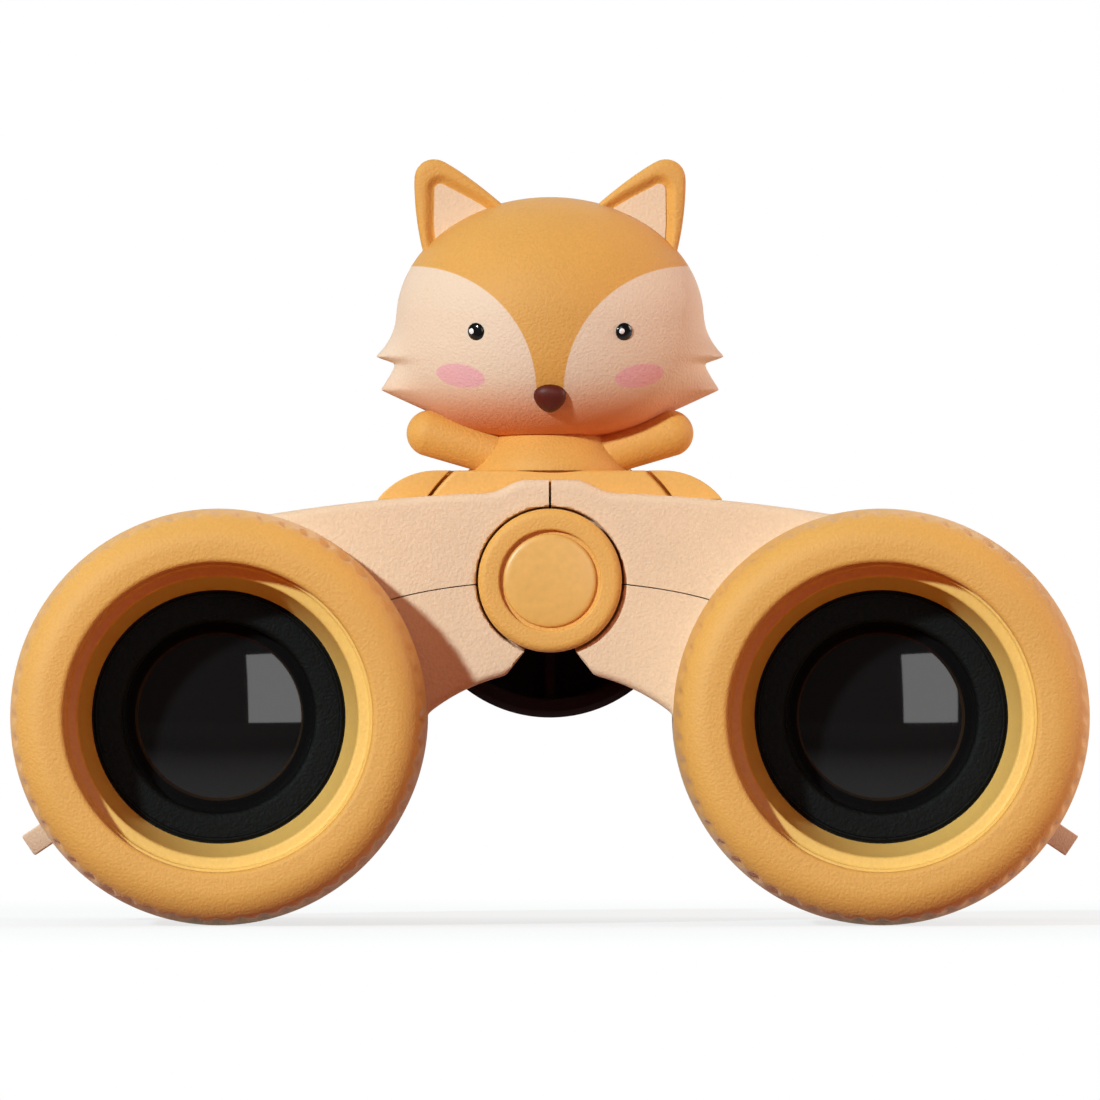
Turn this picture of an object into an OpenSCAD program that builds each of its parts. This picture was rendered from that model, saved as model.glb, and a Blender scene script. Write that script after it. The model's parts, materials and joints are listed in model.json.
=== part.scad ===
// Toy binoculars with a fox figure on the bridge, seen from the objective side.
// The objectives face -Y, +X is to the viewer's right and +Z is up.
// The origin lies under the middle of the body, on the surface that the barrels rest on.
// Depths are measured from the front of the bumper rings, towards the eyes.
// Each half is drawn on the left, where x is negative, and the right one is its mirror image.

/* [Barrels] */
// Distance between the two optical axes when unfolded
barrel_spacing = 70; // [68:1:76]
// Outer diameter of a barrel shell
barrel_d = 44; // [42:0.5:46]
// Length of a barrel shell behind its bumper ring
barrel_len = 44; // [42:1:52]
// Wall thickness of a barrel shell
shell_wall = 2; // [1.6:0.1:2.6]
// Rounding of the front edge of a barrel shell
front_round_r = 1; // [0.5:0.1:1.5]
// Rounding of the rear shoulder of a barrel shell
rear_round_r = 7; // [5:0.5:7.5]
// Length of the solid rear wall that guides the eyepiece tube
rear_wall = 9; // [8:0.5:12]
// Wall thickness of the neck
neck_wall = 1.4; // [1.1:0.1:1.8]

/* [Bumper rings] */
// Outer diameter of a bumper ring
ring_d = 44; // [42:0.2:44.4]
// Length of a bumper ring
ring_len = 11; // [9:0.5:14]
// Thickness of the lip in front of the neck
ring_lip = 2.8; // [2:0.1:4]
// Thickness of the ring round the neck that carries it
ring_wall = 3.6; // [3:0.1:4]
// Width of the lip, from the outside of the ring to its mouth
lip_w = 5.7; // [5.2:0.1:6.4]
// Rounding of the outer front edge
ring_edge_r = 3.8; // [2.5:0.1:4.2]
// Rounding of the edge of the mouth
mouth_edge_r = 0.6; // [0.3:0.1:1]

/* [Objectives] */
// Width of the lens retainer, from the neck's bore to the clear opening
retainer_w = 6.9; // [6.6:0.1:8]
// Overlap of the lens retainer on the objective lens
lens_seat = 0.5; // [0.3:0.1:1]
// Thickness of the objective lens at its edge
lens_edge = 3.1; // [2:0.1:4]
// Height of the front curve of the objective lens
lens_bulge = 1.4; // [1:0.1:2.4]
// Thickness of the lens retainer
retainer_t = 2.8; // [2.5:0.1:3.5]
// Length of the flange of the objective tube
flange_len = 4.3; // [4:0.1:6]
// Wall thickness of the objective tube
objective_wall = 1.5; // [1.2:0.1:2]
// Step in from the mouth to the hood's first step
hood_step_in = 1.3; // [0.8:0.1:1.7]
// Step in from the mouth to the hood's rear edge
hood_back_in = 2.9; // [2.4:0.1:3.6]
// Depth behind the bumper ring at which the objective tube stops
stop_setback = 8.5; // [8:0.5:10]
// Thickness of the stop in the shell
stop_t = 2; // [1.5:0.1:3]

/* [Bridge] */
// Depth of the hinge axis below the top of the barrels
hinge_drop = 7.6; // [7:0.1:8.2]
// Setback of the bridge behind the bumper rings
bridge_setback = 3; // [2:0.5:5]
// Depth of the bridge from front to back
bridge_depth = 14; // [13:0.5:18]
// Radius of the long bow along the top of the bridge
bow_r = 185; // [175:5:200]
// Rounding of the bridge's front edges
bridge_edge_r = 2.4; // [1:0.1:2.8]
// Material between the knuckles and the top of the bridge
crown_cover = 2.4; // [2:0.1:2.8]
// Height of the hump over the hinge
hump_h = 1.3; // [0.8:0.1:1.6]
// Thickness of the front skin that hides the knuckles
skin_t = 3; // [2.6:0.1:4]
// Step from the top of the bow down to the deck behind the front skin
deck_drop = 0.75; // [0.4:0.05:0.9]
// Radius of the arch under the bridge
arch_r = 20.5; // [19.5:0.1:21]
// Material between the knuckles and the arch
arch_web = 2.5; // [2:0.1:3]
// Gap between the two halves where they meet on top
seam_gap = 0.2; // [0.1:0.05:0.4]
// Drop of the parting line below the hinge axis
parting_drop = 0.3; // [0.2:0.1:1.5]
// Diameter of the screws that hold the shells together
shell_screw_d = 2.5; // [2:0.1:3]
// Diameter of the shell screws' heads
shell_screw_head_d = 4.5; // [4:0.1:5]
// Thickness of the shell screws' heads
shell_screw_head_t = 1.3; // [1:0.1:1.8]

/* [Hinge] */
// Diameter of the hinge bolt
bolt_d = 5; // [4:0.1:6]
// Diameter of the bolt's head
bolt_head_d = 10; // [9:0.1:10.6]
// Thickness of the bolt's head
bolt_head_t = 1.7; // [1.4:0.1:1.8]
// Outer diameter of the knuckles
knuckle_d = 14; // [13:0.1:14.6]
// Outer diameter of the cap over the bolt head
cap_d = 15.2; // [14.6:0.1:16]
// How far the cap stands out of the bridge
cap_proud = 1.3; // [0.8:0.1:2]
// Diameter of the blank disc in the cap
badge_d = 9.7; // [8:0.1:10]
// Thickness of the blank disc
badge_t = 0.9; // [0.7:0.1:1]
// Furthest fold of each half, in degrees
fold_max = 17; // [12:1:18]
// Diameter of the end nut
end_nut_d = 10; // [9:0.1:12]
// Thickness of the end nut
end_nut_t = 3; // [2:0.1:4]
// Thickness of each friction washer
washer_t = 0.3; // [0.3:0.05:0.5]

/* [Focus] */
// Gap between the focus wheel and the barrels
wheel_gap = 1.25; // [0.9:0.05:2]
// Width of the focus wheel
wheel_w = 9; // [7:0.5:11]
// Thickness of the wheel's rim
rim_t = 2; // [1.6:0.1:2.5]
// Thickness of the wheel's web
web_t = 2.2; // [1.6:0.1:3]
// Diameter of the wheel's hub
hub_d = 13; // [12:0.5:15]
// Number of spokes in the wheel
spoke_count = 6; // [3:1:8]
// Thickness of a spoke
spoke_t = 1.05; // [0.8:0.05:1.6]
// Number of grip grooves round the rim
grip_count = 36; // [24:1:48]
// Radius of a grip groove
grip_r = 0.5; // [0.3:0.05:0.6]
// Diameter of the focus screw
screw_d = 9; // [8.4:0.1:10]
// Focus travel each way from the middle
focus_travel = 2.2; // [1.5:0.1:2.8]
// Diameter of the focus nut
nut_d = 13; // [12.4:0.1:14]
// Diameter of the focus nut's flange and clip
nut_flange_d = 16; // [15.6:0.1:18]
// Thickness of the focus nut's flange
nut_flange_t = 2; // [1.5:0.1:2.5]
// Thickness of the clip behind the focus arms
clip_t = 1.2; // [1:0.1:1.6]
// Thickness of a focus arm
arm_t = 2.6; // [2:0.1:3.2]
// Width of a focus arm's bar
arm_w = 9; // [7:0.5:11]
// Width of the rings at the ends of a focus arm
arm_ring_w = 2.2; // [1.8:0.1:2.6]

/* [Eyepieces] */
// Outer diameter of an eyepiece tube
eye_tube_d = 26; // [24:0.5:27]
// Wall thickness of an eyepiece tube
eye_tube_wall = 1.5; // [1.2:0.1:2]
// Length of the eyepiece tube inside the rear wall's guide, past its front face
tube_inset = 2; // [1:0.5:3]
// Length of the eyepiece tube behind the focus arms
tube_tail = 8.3; // [8:0.1:10]
// Thickness of the ocular lens at its edge
ocular_edge = 2.7; // [2:0.1:3.2]
// Depth of the hollow in the ocular lens
ocular_hollow = 1.4; // [0.8:0.1:1.6]
// Clear diameter of the ocular
ocular_clear_d = 15; // [13:0.5:17]
// Thickness of the ocular's retainer and of its stop
ocular_seat_t = 1.6; // [1.2:0.1:2]
// Diameter of an eyecup at its rim
eyecup_d = 35; // [33:0.5:37]
// Length of an eyecup
eyecup_len = 22.5; // [20:0.5:26]
// Wall thickness of an eyecup at its rim
eyecup_wall = 1.8; // [1.4:0.1:2.4]

/* [Strap lugs] */
// Thickness of a strap lug
lug_t = 2.5; // [2:0.1:3]
// Reach of a strap lug beyond the barrel
lug_reach = 3; // [2.6:0.1:4]
// Length of a strap lug from front to back
lug_len = 10; // [9.5:0.5:12]
// Diameter of the hole in a strap lug
lug_hole_d = 3.4; // [2.6:0.1:3.6]
// Angle of the strap lugs below level, in degrees
lug_angle = 34; // [25:1:45]

/* [Saddle] */
// Height of the saddle above the deck
saddle_h = 3; // [2.5:0.1:4]
// Radius of the saddle's sides about the hinge, which the pads swing past
saddle_side_r = 15.4; // [15:0.1:15.8]
// Gap between the saddle and the pads beside it
saddle_gap = 0.45; // [0.4:0.05:1]
// Radius of the outer shoulder of a saddle pad
pad_round_r = 7.9; // [7:0.1:8.5]
// Distance of the pads' outer shoulder from the middle
pad_centre = 12; // [11.5:0.1:12.5]
// Clearance between the saddle and the deck under it
saddle_clear = 0.2; // [0.15:0.05:0.4]
// Drop of the saddle's tail below the deck, behind the bridge
tail_drop = 1.2; // [0.5:0.1:2]
// Thickness of the bracket under the saddle
bracket_t = 3; // [2:0.1:4]
// Width of the bracket under the saddle
bracket_w = 13; // [11:0.5:14]

/* [Fox] */
// Setback of the figure's middle behind the front skin of the bridge
fox_setback = 8.3; // [8:0.1:9]
// Width of the head
head_w = 32.6; // [30:0.2:34]
// Height of the head
head_h = 25.8; // [24:0.2:28]
// Depth of the head from front to back
head_depth = 27.6; // [26:0.2:30]
// Height of the chin above the saddle
chin_rise = 3.2; // [3:0.1:3.6]
// Diameter of the torso at the saddle
torso_d = 17; // [16:0.2:18]
// Diameter of the torso under the head
torso_top_d = 12.4; // [11:0.2:13]
// Height of the torso
torso_h = 4.4; // [4.2:0.1:5]
// Radius of a hand
hand_r = 2.45; // [2:0.05:2.6]
// Radius of an arm at the shoulder
fox_shoulder_r = 2.3; // [2:0.1:2.6]
// Distance of a hand's centre from the middle
hand_reach = 12.8; // [12:0.1:13.5]
// Height of a hand's centre above the saddle
hand_rise = 3.95; // [3.4:0.05:4.2]
// Height of a shoulder's centre above the saddle
shoulder_rise = 1.7; // [1.2:0.1:2.4]
// Distance of an ear's tip from the middle
ear_tip_out = 12.4; // [11:0.1:13]
// Height of an ear's tip above the middle of the head
ear_tip_rise = 15.6; // [15:0.1:17]
// Thickness of an ear
ear_t = 4.2; // [3.4:0.1:5]
// Rounding of an ear's corners
ear_round_r = 1.2; // [0.8:0.1:1.6]
// Thickness of an ear's lining
lining_t = 0.8; // [0.6:0.1:1.2]
// Width of the nose
nose_w = 3.2; // [2.6:0.1:4]
// Drop of the nose below the middle of the head
nose_drop = 7.5; // [7:0.1:8]
// Diameter of an eye
eye_d = 1.75; // [1.4:0.05:2.4]
// Distance of an eye from the middle
eye_spread = 7.8; // [7:0.1:8.5]
// Drop of the eyes below the middle of the head
eye_drop = 1.4; // [0.8:0.1:2]
// Reach of the cheek tufts from the middle
tuft_reach = 18.2; // [17.8:0.1:19]

/* [Hidden] */
$fn = 72;
// Steps in each rounded edge
edge_steps = 6;
// Overrun of every cut past the face that it opens
over = 0.5;
// Radial clearance of pins, washers and seated pieces
fit = 0.05;
// Radial clearance of pieces that slide in a tube
slide_fit = 0.1;
// Clearance round a knuckle and round the cap
knuckle_clear = 0.35;
cap_clear = 0.25;
// Clearances along the axis between moving pieces
turn_clear = 0.3;
arm_clear = 1;
// Clearance between painted or glued pieces of the figure
glue_clear = 0.04;
// Share of the ear's outline that its lining fills
lining_share = 0.62;
// Spare angle of the gap under the hinge beyond the fold, and its flare, in degrees
fold_spare = 2.5;
gap_flare = 38;

barrel_r = barrel_d / 2;
bore_r = barrel_r - shell_wall;
ring_r = ring_d / 2;
neck_r = ring_r - ring_wall;
mouth_r = ring_r - lip_w;
cell_r = neck_r - neck_wall;
insert_r = cell_r - slide_fit;
aperture_r = insert_r - retainer_w;
lens_r = aperture_r + lens_seat;
knuckle_r = knuckle_d / 2;
pocket_r = knuckle_r + knuckle_clear;
bolt_r = bolt_d / 2;
cap_r = cap_d / 2;
recess_r = cap_r + cap_clear;
eye_r = eye_tube_d / 2;
guide_r = eye_r + slide_fit;

axis_x = barrel_spacing / 2;
axis_z = max(barrel_r, ring_r);
hinge_z = axis_z + barrel_r - hinge_drop;
hinge_dist = norm([axis_x, hinge_z - axis_z]);
hinge_tilt = atan2(hinge_z - axis_z, axis_x);
crown_z = hinge_z + knuckle_r + crown_cover;
hump_r = crown_z + hump_h - hinge_z;
deck_z = crown_z - deck_drop;
arch_z = hinge_z - knuckle_r - arch_web - arch_r;
wheel_r = hinge_dist - barrel_r - wheel_gap;

// Depths from the front of the rings
stop_y = ring_len + stop_setback;
flange_y = stop_y - flange_len;
retainer_y = flange_y - retainer_t;
barrel_end_y = ring_len + barrel_len;
rear_wall_y = barrel_end_y - rear_wall;
bridge_y = ring_len + bridge_setback;
bridge_end_y = bridge_y + bridge_depth;
skin_y = bridge_y + skin_t;
knuckle_w = (bridge_end_y - skin_y - washer_t) / 2;
middle_y = skin_y + knuckle_w;
bracket_y = bridge_end_y + washer_t;
bracket_end_y = bracket_y + bracket_t;
fox_y = skin_y + fox_setback;
saddle_end_y = fox_y + torso_d / 2 - turn_clear;
wheel_y = saddle_end_y + 2 * turn_clear;
wheel_end_y = wheel_y + wheel_w;
left_arm_y = barrel_end_y + focus_travel + arm_clear;
right_arm_y = left_arm_y + arm_t + turn_clear;
arms_end_y = right_arm_y + arm_t;
clip_y = arms_end_y + turn_clear;
nut_y = left_arm_y - nut_flange_t;
nut_end_y = clip_y + clip_t + turn_clear;
screw_y = wheel_end_y - wheel_w / 2;
screw_end_y = nut_end_y + focus_travel + turn_clear;
end_nut_y = screw_end_y + turn_clear;
bolt_end_y = end_nut_y + end_nut_t + turn_clear;
tube_y = rear_wall_y - tube_inset;
tube_end_y = arms_end_y + tube_tail;
objective_end_y = tube_y - focus_travel - objective_wall;
eyecup_y = arms_end_y + arm_clear;
body_len = eyecup_y + eyecup_len;

// Heights and depths of the figure
saddle_z = deck_z + saddle_h;
head_z = saddle_z + chin_rise + head_h / 2;

// Colours
beige = [0.90, 0.77, 0.63];
orange = [0.90, 0.62, 0.24];
fox_orange = [0.88, 0.56, 0.20];
cream = [0.93, 0.80, 0.66];
black = [0.07, 0.07, 0.08];
dark_brown = [0.15, 0.07, 0.05];
glass = [0.80, 0.88, 0.90];
steel = [0.70, 0.71, 0.73];

// Points of an arc from angle a0 to angle a1
function arc(centre, r, a0, a1, steps = edge_steps) =
    [for (i = [0:steps]) let (a = a0 + (a1 - a0) * i / steps) centre + r * [cos(a), sin(a)]];

// Turns an outline, drawn as radius and depth, about the fore-and-aft axis through the origin
module lathe() {
    translate([0, -body_len / 2, 0]) rotate([-90, 0, 0]) rotate_extrude() children();
}

// A cylinder along the fore-and-aft axis between two depths
module rod(r, y0, y1) {
    translate([0, y0 - body_len / 2, 0]) rotate([-90, 0, 0]) cylinder(r = r, h = y1 - y0);
}

// A tube along the fore-and-aft axis between two depths
module sleeve(r_out, r_in, y0, y1) {
    difference() {
        rod(r_out, y0, y1);
        rod(r_in, y0 - over, y1 + over);
    }
}

// A front-view outline, drawn as width and height, made solid between two depths
module slab(y0, y1) {
    translate([0, y1 - body_len / 2, 0]) rotate([90, 0, 0]) linear_extrude(y1 - y0) children();
}

// A box between two corners in width, depth from the front and height
module block(a, b) {
    translate([a[0], a[1] - body_len / 2, a[2]]) cube(b - a);
}

module at_hinge() {
    translate([0, 0, hinge_z]) children();
}

module at_barrel() {
    translate([-axis_x, 0, axis_z]) children();
}

// Draws a left-hand piece, or its mirror image on the right
module on_side(right) {
    if (right) mirror([1, 0, 0]) children();
    else children();
}

// Hinge pieces, which stay in the middle

module hinge_bolt() {
    color(steel) at_hinge() {
        rod(bolt_head_d / 2, skin_y - fit - bolt_head_t, skin_y - fit);
        rod(bolt_r, skin_y - fit, bolt_end_y);
    }
}

module hinge_end_nut() {
    color(steel) at_hinge() sleeve(end_nut_d / 2, bolt_r + fit, end_nut_y, end_nut_y + end_nut_t);
}

module hinge_washers() {
    washer_r = knuckle_r - knuckle_clear;
    color(steel) at_hinge() {
        sleeve(washer_r, bolt_r + fit, middle_y, middle_y + washer_t);
        sleeve(washer_r, bolt_r + fit, bridge_end_y, bridge_end_y + washer_t);
    }
}

module hinge_cap() {
    front_y = bridge_y - cap_proud;
    back_y = skin_y - 2 * fit;
    badge_r = badge_d / 2;
    groove_w = badge_t / 2;
    edge_r = cap_proud * 2 / 3;
    head_y = skin_y - bolt_head_t - 2 * fit;
    color(orange) at_hinge() difference() {
        lathe() polygon(concat(
            [[0, back_y], [0, front_y]],
            arc([cap_r - edge_r, front_y + edge_r], edge_r, -90, 0),
            [[cap_r, back_y]]));
        rod(badge_r + fit, front_y - over, front_y + badge_t);
        difference() {
            rod(badge_r + groove_w, front_y - over, front_y + badge_t / 2);
            rod(badge_r - groove_w, front_y - over, front_y + badge_t);
        }
        rod(bolt_head_d / 2 + fit, head_y, skin_y + over);
    }
}

module cap_badge() {
    front_y = bridge_y - cap_proud;
    badge_r = badge_d / 2;
    edge_r = badge_t / 3;
    color(orange) at_hinge() lathe() polygon(concat(
        [[0, front_y + badge_t], [0, front_y]],
        arc([badge_r - edge_r, front_y + edge_r], edge_r, -90, 0),
        [[badge_r, front_y + badge_t]]));
}

// Front view of the saddle, with a flat top between sides that are round about the hinge
module saddle_outline(low_z) {
    intersection() {
        translate([0, hinge_z]) circle(saddle_side_r);
        translate([-saddle_side_r, low_z]) square([2 * saddle_side_r, saddle_z - low_z]);
    }
}

// Front view of the saddle's tail, with a flat top between two round shoulders like those of the pads
module tail_outline(low_z) {
    round_z = saddle_z - pad_round_r;
    difference() {
        union() {
            for (side = [-1, 1]) translate([side * pad_centre, round_z]) circle(pad_round_r);
            translate([-pad_centre, round_z]) square([2 * pad_centre, pad_round_r]);
        }
        translate([-axis_x, low_z - axis_z]) square([2 * axis_x, axis_z]);
    }
}

module fox_base() {
    plate_low_z = deck_z + saddle_clear;
    color(orange) difference() {
        union() {
            slab(skin_y + turn_clear, saddle_end_y) saddle_outline(plate_low_z);
            slab(bracket_y, saddle_end_y) tail_outline(deck_z - tail_drop);
            block([-bracket_w / 2, bracket_y, hinge_z], [bracket_w / 2, bracket_end_y, plate_low_z + over]);
            at_hinge() rod(bracket_w / 2, bracket_y, bracket_end_y);
        }
        at_hinge() rod(bolt_r + fit, bracket_y - over, bracket_end_y + over);
    }
}

// Fox figure

// A cone of the torso's shape, grown by a clearance
module torso_shape(grow) {
    translate([0, fox_y - body_len / 2, saddle_z])
        cylinder(h = torso_h + grow, r1 = torso_d / 2 + grow, r2 = torso_top_d / 2 + grow);
}

module fox_torso() {
    color(fox_orange) torso_shape(0);
}

// The head's egg, grown by a clearance
module head_egg(grow) {
    translate([0, fox_y - body_len / 2, head_z])
        scale([head_w / 2 + grow, head_depth / 2 + grow, head_h / 2 + grow]) sphere(1);
}

// A tapering tuft between two places in the front view, drawn on the left
module tuft(root, tip, root_r, tip_r) {
    run = tip - root;
    translate([root[0], fox_y - body_len / 2, head_z + root[1]])
        rotate([0, atan2(run[0], run[1]), 0])
            cylinder(h = norm(run), r1 = root_r, r2 = tip_r);
}

module head_tufts() {
    tip_r = hand_r / 6;
    for (side = [0, 1]) mirror([side, 0, 0]) {
        tuft([-head_w * upper_root_shares[0], -head_h * upper_root_shares[1]],
             [-tuft_reach, -head_h * upper_tip_share], head_h * tuft_share, tip_r);
        tuft([-head_w * lower_root_shares[0], -head_h * lower_root_shares[1]],
             [-tuft_reach + tip_r, -head_h * lower_tip_share], head_h * tuft_share, tip_r);
    }
}

// Places of the cheek tufts, as shares of the head's width and height
upper_root_shares = [0.40, 0.06];
lower_root_shares = [0.36, 0.22];
upper_tip_share = 0.155;
lower_tip_share = 0.285;
tuft_share = 0.1;

module fox_head() {
    color(fox_orange) difference() {
        union() {
            head_egg(0);
            head_tufts();
        }
        torso_shape(glue_clear);
        eye_balls(glue_clear);
        nose_block(glue_clear);
    }
}

// Outline of an ear in the front view, drawn on the left and scaled about its middle by a share
module ear_outline(share, round_r) {
    tip = [-ear_tip_out, ear_tip_rise];
    outer = [-head_w * ear_outer_shares[0], head_h * ear_outer_shares[1]];
    inner = [-head_w * ear_inner_shares[0], head_h * ear_inner_shares[1]];
    middle = (tip + outer + inner) / 3;
    hull() for (p = [tip, outer, inner])
        translate(middle + share * (p - middle)) circle(round_r, $fn = 32);
}

// Places of an ear's two lower corners, as shares of the head's width and height
ear_outer_shares = [0.386, 0.25];
ear_inner_shares = [0.15, 0.44];

ear_y = fox_y - ear_t / 2;

module ear_lining_shape(grow) {
    translate([0, 0, head_z]) slab(ear_y - over * grow, ear_y + lining_t)
        ear_outline(lining_share, ear_round_r * lining_share + grow * glue_clear);
}

module fox_ear(right) {
    color(fox_orange) on_side(right) difference() {
        translate([0, 0, head_z]) slab(ear_y, ear_y + ear_t) ear_outline(1, ear_round_r);
        head_egg(glue_clear);
        ear_lining_shape(1);
    }
}

module fox_ear_linings() {
    color(cream) for (right = [false, true]) on_side(right) difference() {
        ear_lining_shape(0);
        head_egg(glue_clear);
    }
}

// Where the front of the head lies at a place in the front view
function face_y(x, z) =
    fox_y - head_depth / 2 * sqrt(1 - pow(2 * x / head_w, 2) - pow(2 * z / head_h, 2));

module nose_block(grow) {
    nose_r = nose_w / 4;
    nose_y = face_y(0, -nose_drop);
    translate([0, 0, head_z - nose_drop]) slab(nose_y - nose_w / 3, nose_y + nose_w / 2 + grow) hull() {
        for (side = [-1, 1])
            translate([side * nose_r, nose_r]) circle(nose_r + grow, $fn = 32);
        translate([0, -nose_r]) circle(nose_r + grow, $fn = 32);
    }
}

module fox_nose() {
    color(dark_brown) nose_block(0);
}

module eye_balls(grow) {
    for (side = [-1, 1])
        translate([side * eye_spread, face_y(eye_spread, -eye_drop) - body_len / 2, head_z - eye_drop])
            sphere(eye_d / 2 + grow);
}

module fox_eyes() {
    color(black) eye_balls(0);
}

// A round limb that tapers from one place to another, with rounded ends
module limb(from, to, from_r, to_r) {
    run = to - from;
    reach = norm(run);
    slope = asin((from_r - to_r) / reach);
    translate(from) rotate([0, acos(run[2] / reach), atan2(run[1], run[0])])
        rotate_extrude() polygon(concat(
            arc([0, 0], from_r, -90, slope),
            arc([0, reach], to_r, slope, 90)));
}

module fox_arm(right) {
    arm_y = fox_y - fox_shoulder_r - body_len / 2;
    shoulder_x = torso_top_d / 2 - fox_shoulder_r / 2;
    color(fox_orange) on_side(right) difference() {
        limb([-shoulder_x, arm_y, saddle_z + shoulder_rise],
             [-hand_reach, arm_y, saddle_z + hand_rise], fox_shoulder_r, hand_r);
        torso_shape(glue_clear);
        head_egg(glue_clear);
        block([-axis_x, 0, 0], [axis_x, body_len, saddle_z + glue_clear]);
    }
}

// Focus drive

module focus_wheel() {
    rim_in_r = wheel_r - rim_t;
    hub_r = hub_d / 2;
    rim_edge = rim_t / 3;
    web_y = wheel_end_y - web_t;
    color(dark_brown) at_hinge() difference() {
        union() {
            lathe() polygon([
                [rim_in_r, wheel_y], [wheel_r - rim_edge, wheel_y], [wheel_r, wheel_y + rim_edge],
                [wheel_r, wheel_end_y - rim_edge], [wheel_r - rim_edge, wheel_end_y], [0, wheel_end_y],
                [0, bracket_end_y + turn_clear], [hub_r, bracket_end_y + turn_clear],
                [hub_r, web_y], [rim_in_r, web_y]]);
            for (i = [0:spoke_count - 1]) rotate([0, i * 360 / spoke_count, 0])
                block([-spoke_t / 2, wheel_y + rim_t, -rim_in_r - rim_edge],
                      [spoke_t / 2, web_y + rim_edge, -hub_r + rim_edge]);
        }
        for (i = [0:grip_count - 1]) rotate([0, (i + 0.5) * 360 / grip_count, 0])
            translate([0, 0, -wheel_r]) rod(grip_r, wheel_y + rim_t, wheel_end_y + over);
        rod(bolt_r + fit, bracket_end_y - over, wheel_end_y + over);
        rod(screw_d / 2 + fit, screw_y, wheel_end_y + over);
    }
}

module focus_screw() {
    color(black) at_hinge() sleeve(screw_d / 2, bolt_r + fit, screw_y, screw_end_y);
}

module focus_nut() {
    color(black) at_hinge() difference() {
        union() {
            rod(nut_flange_d / 2, nut_y, left_arm_y);
            rod(nut_d / 2, nut_y, nut_end_y);
        }
        rod(screw_d / 2 + fit, nut_y - over, nut_end_y + over);
    }
}

module nut_clip() {
    color(steel) at_hinge() sleeve(nut_flange_d / 2, nut_d / 2 + fit, clip_y, clip_y + clip_t);
}

// A flat arm from an eyepiece tube to the focus nut
module focus_arm(right) {
    arm_y = right ? right_arm_y : left_arm_y;
    hole_r = nut_d / 2 + fit;
    color(black) on_side(right) difference() {
        slab(arm_y, arm_y + arm_t) difference() {
            union() {
                translate([-axis_x, axis_z]) circle(eye_r + arm_ring_w);
                translate([0, hinge_z]) circle(hole_r + arm_ring_w);
                translate([-axis_x, axis_z]) rotate(hinge_tilt) translate([0, -arm_w / 2])
                    square([hinge_dist, arm_w]);
            }
            translate([-axis_x, axis_z]) circle(eye_r + fit);
            translate([0, hinge_z]) circle(hole_r);
        }
    }
}

// Barrel shells and bridge

// Points of the parting line, from the barrel's axis up to the hinge
parting_in = bolt_d;
parting_rise = hinge_z - parting_drop - axis_z;
parting_run = axis_x - parting_in;
parting_r = (parting_run * parting_run + parting_rise * parting_rise) / (2 * parting_rise);
parting_centre = [-parting_in, hinge_z - parting_drop - parting_r];
parting_line = arc(parting_centre, parting_r,
    180 - atan2(axis_z - parting_centre[1], parting_run),
    90 - asin(parting_in / parting_r), 2 * edge_steps);

// The front view above or below the parting line
module parting_region(upper) {
    far_x = axis_x + 2 * barrel_r;
    edge_z = upper ? 2 * hinge_z : -hinge_z;
    last = parting_line[len(parting_line) - 1];
    polygon(concat(
        [[-far_x, edge_z], [-far_x, axis_z]], parting_line,
        [[axis_x, last[1]], [axis_x, edge_z]]));
}

module barrel_body() {
    at_barrel() {
        lathe() polygon(concat(
            [[0, ring_len]],
            arc([barrel_r - front_round_r, ring_len + front_round_r], front_round_r, -90, 0),
            arc([barrel_r - rear_round_r, barrel_end_y - rear_round_r], rear_round_r, 0, 90),
            [[0, barrel_end_y]]));
        rod(neck_r, ring_lip + fit, ring_len + over);
    }
}

// The arm of the bridge from the barrel's axis to the seam in the middle
module bridge_arm() {
    seam_x = seam_gap / 2;
    intersection() {
        translate([0, 0, crown_z - bow_r]) lathe() polygon(concat(
            [[0, bridge_end_y], [0, bridge_y]],
            arc([bow_r - bridge_edge_r, bridge_y + bridge_edge_r], bridge_edge_r, -90, 0),
            arc([bow_r - bridge_edge_r, bridge_end_y - bridge_edge_r], bridge_edge_r, 0, 90)));
        block([-axis_x, bridge_y - over, axis_z], [-seam_x, bridge_end_y + over, crown_z + over]);
    }
    intersection() {
        at_hinge() lathe() polygon(concat(
            [[0, skin_y], [0, bridge_y]],
            arc([hump_r - bridge_edge_r, bridge_y + bridge_edge_r], bridge_edge_r, -90, 0),
            [[hump_r, skin_y]]));
        block([-hump_r, bridge_y - over, hinge_z], [-seam_x, skin_y + over, hinge_z + hump_r + over]);
    }
}

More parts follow.
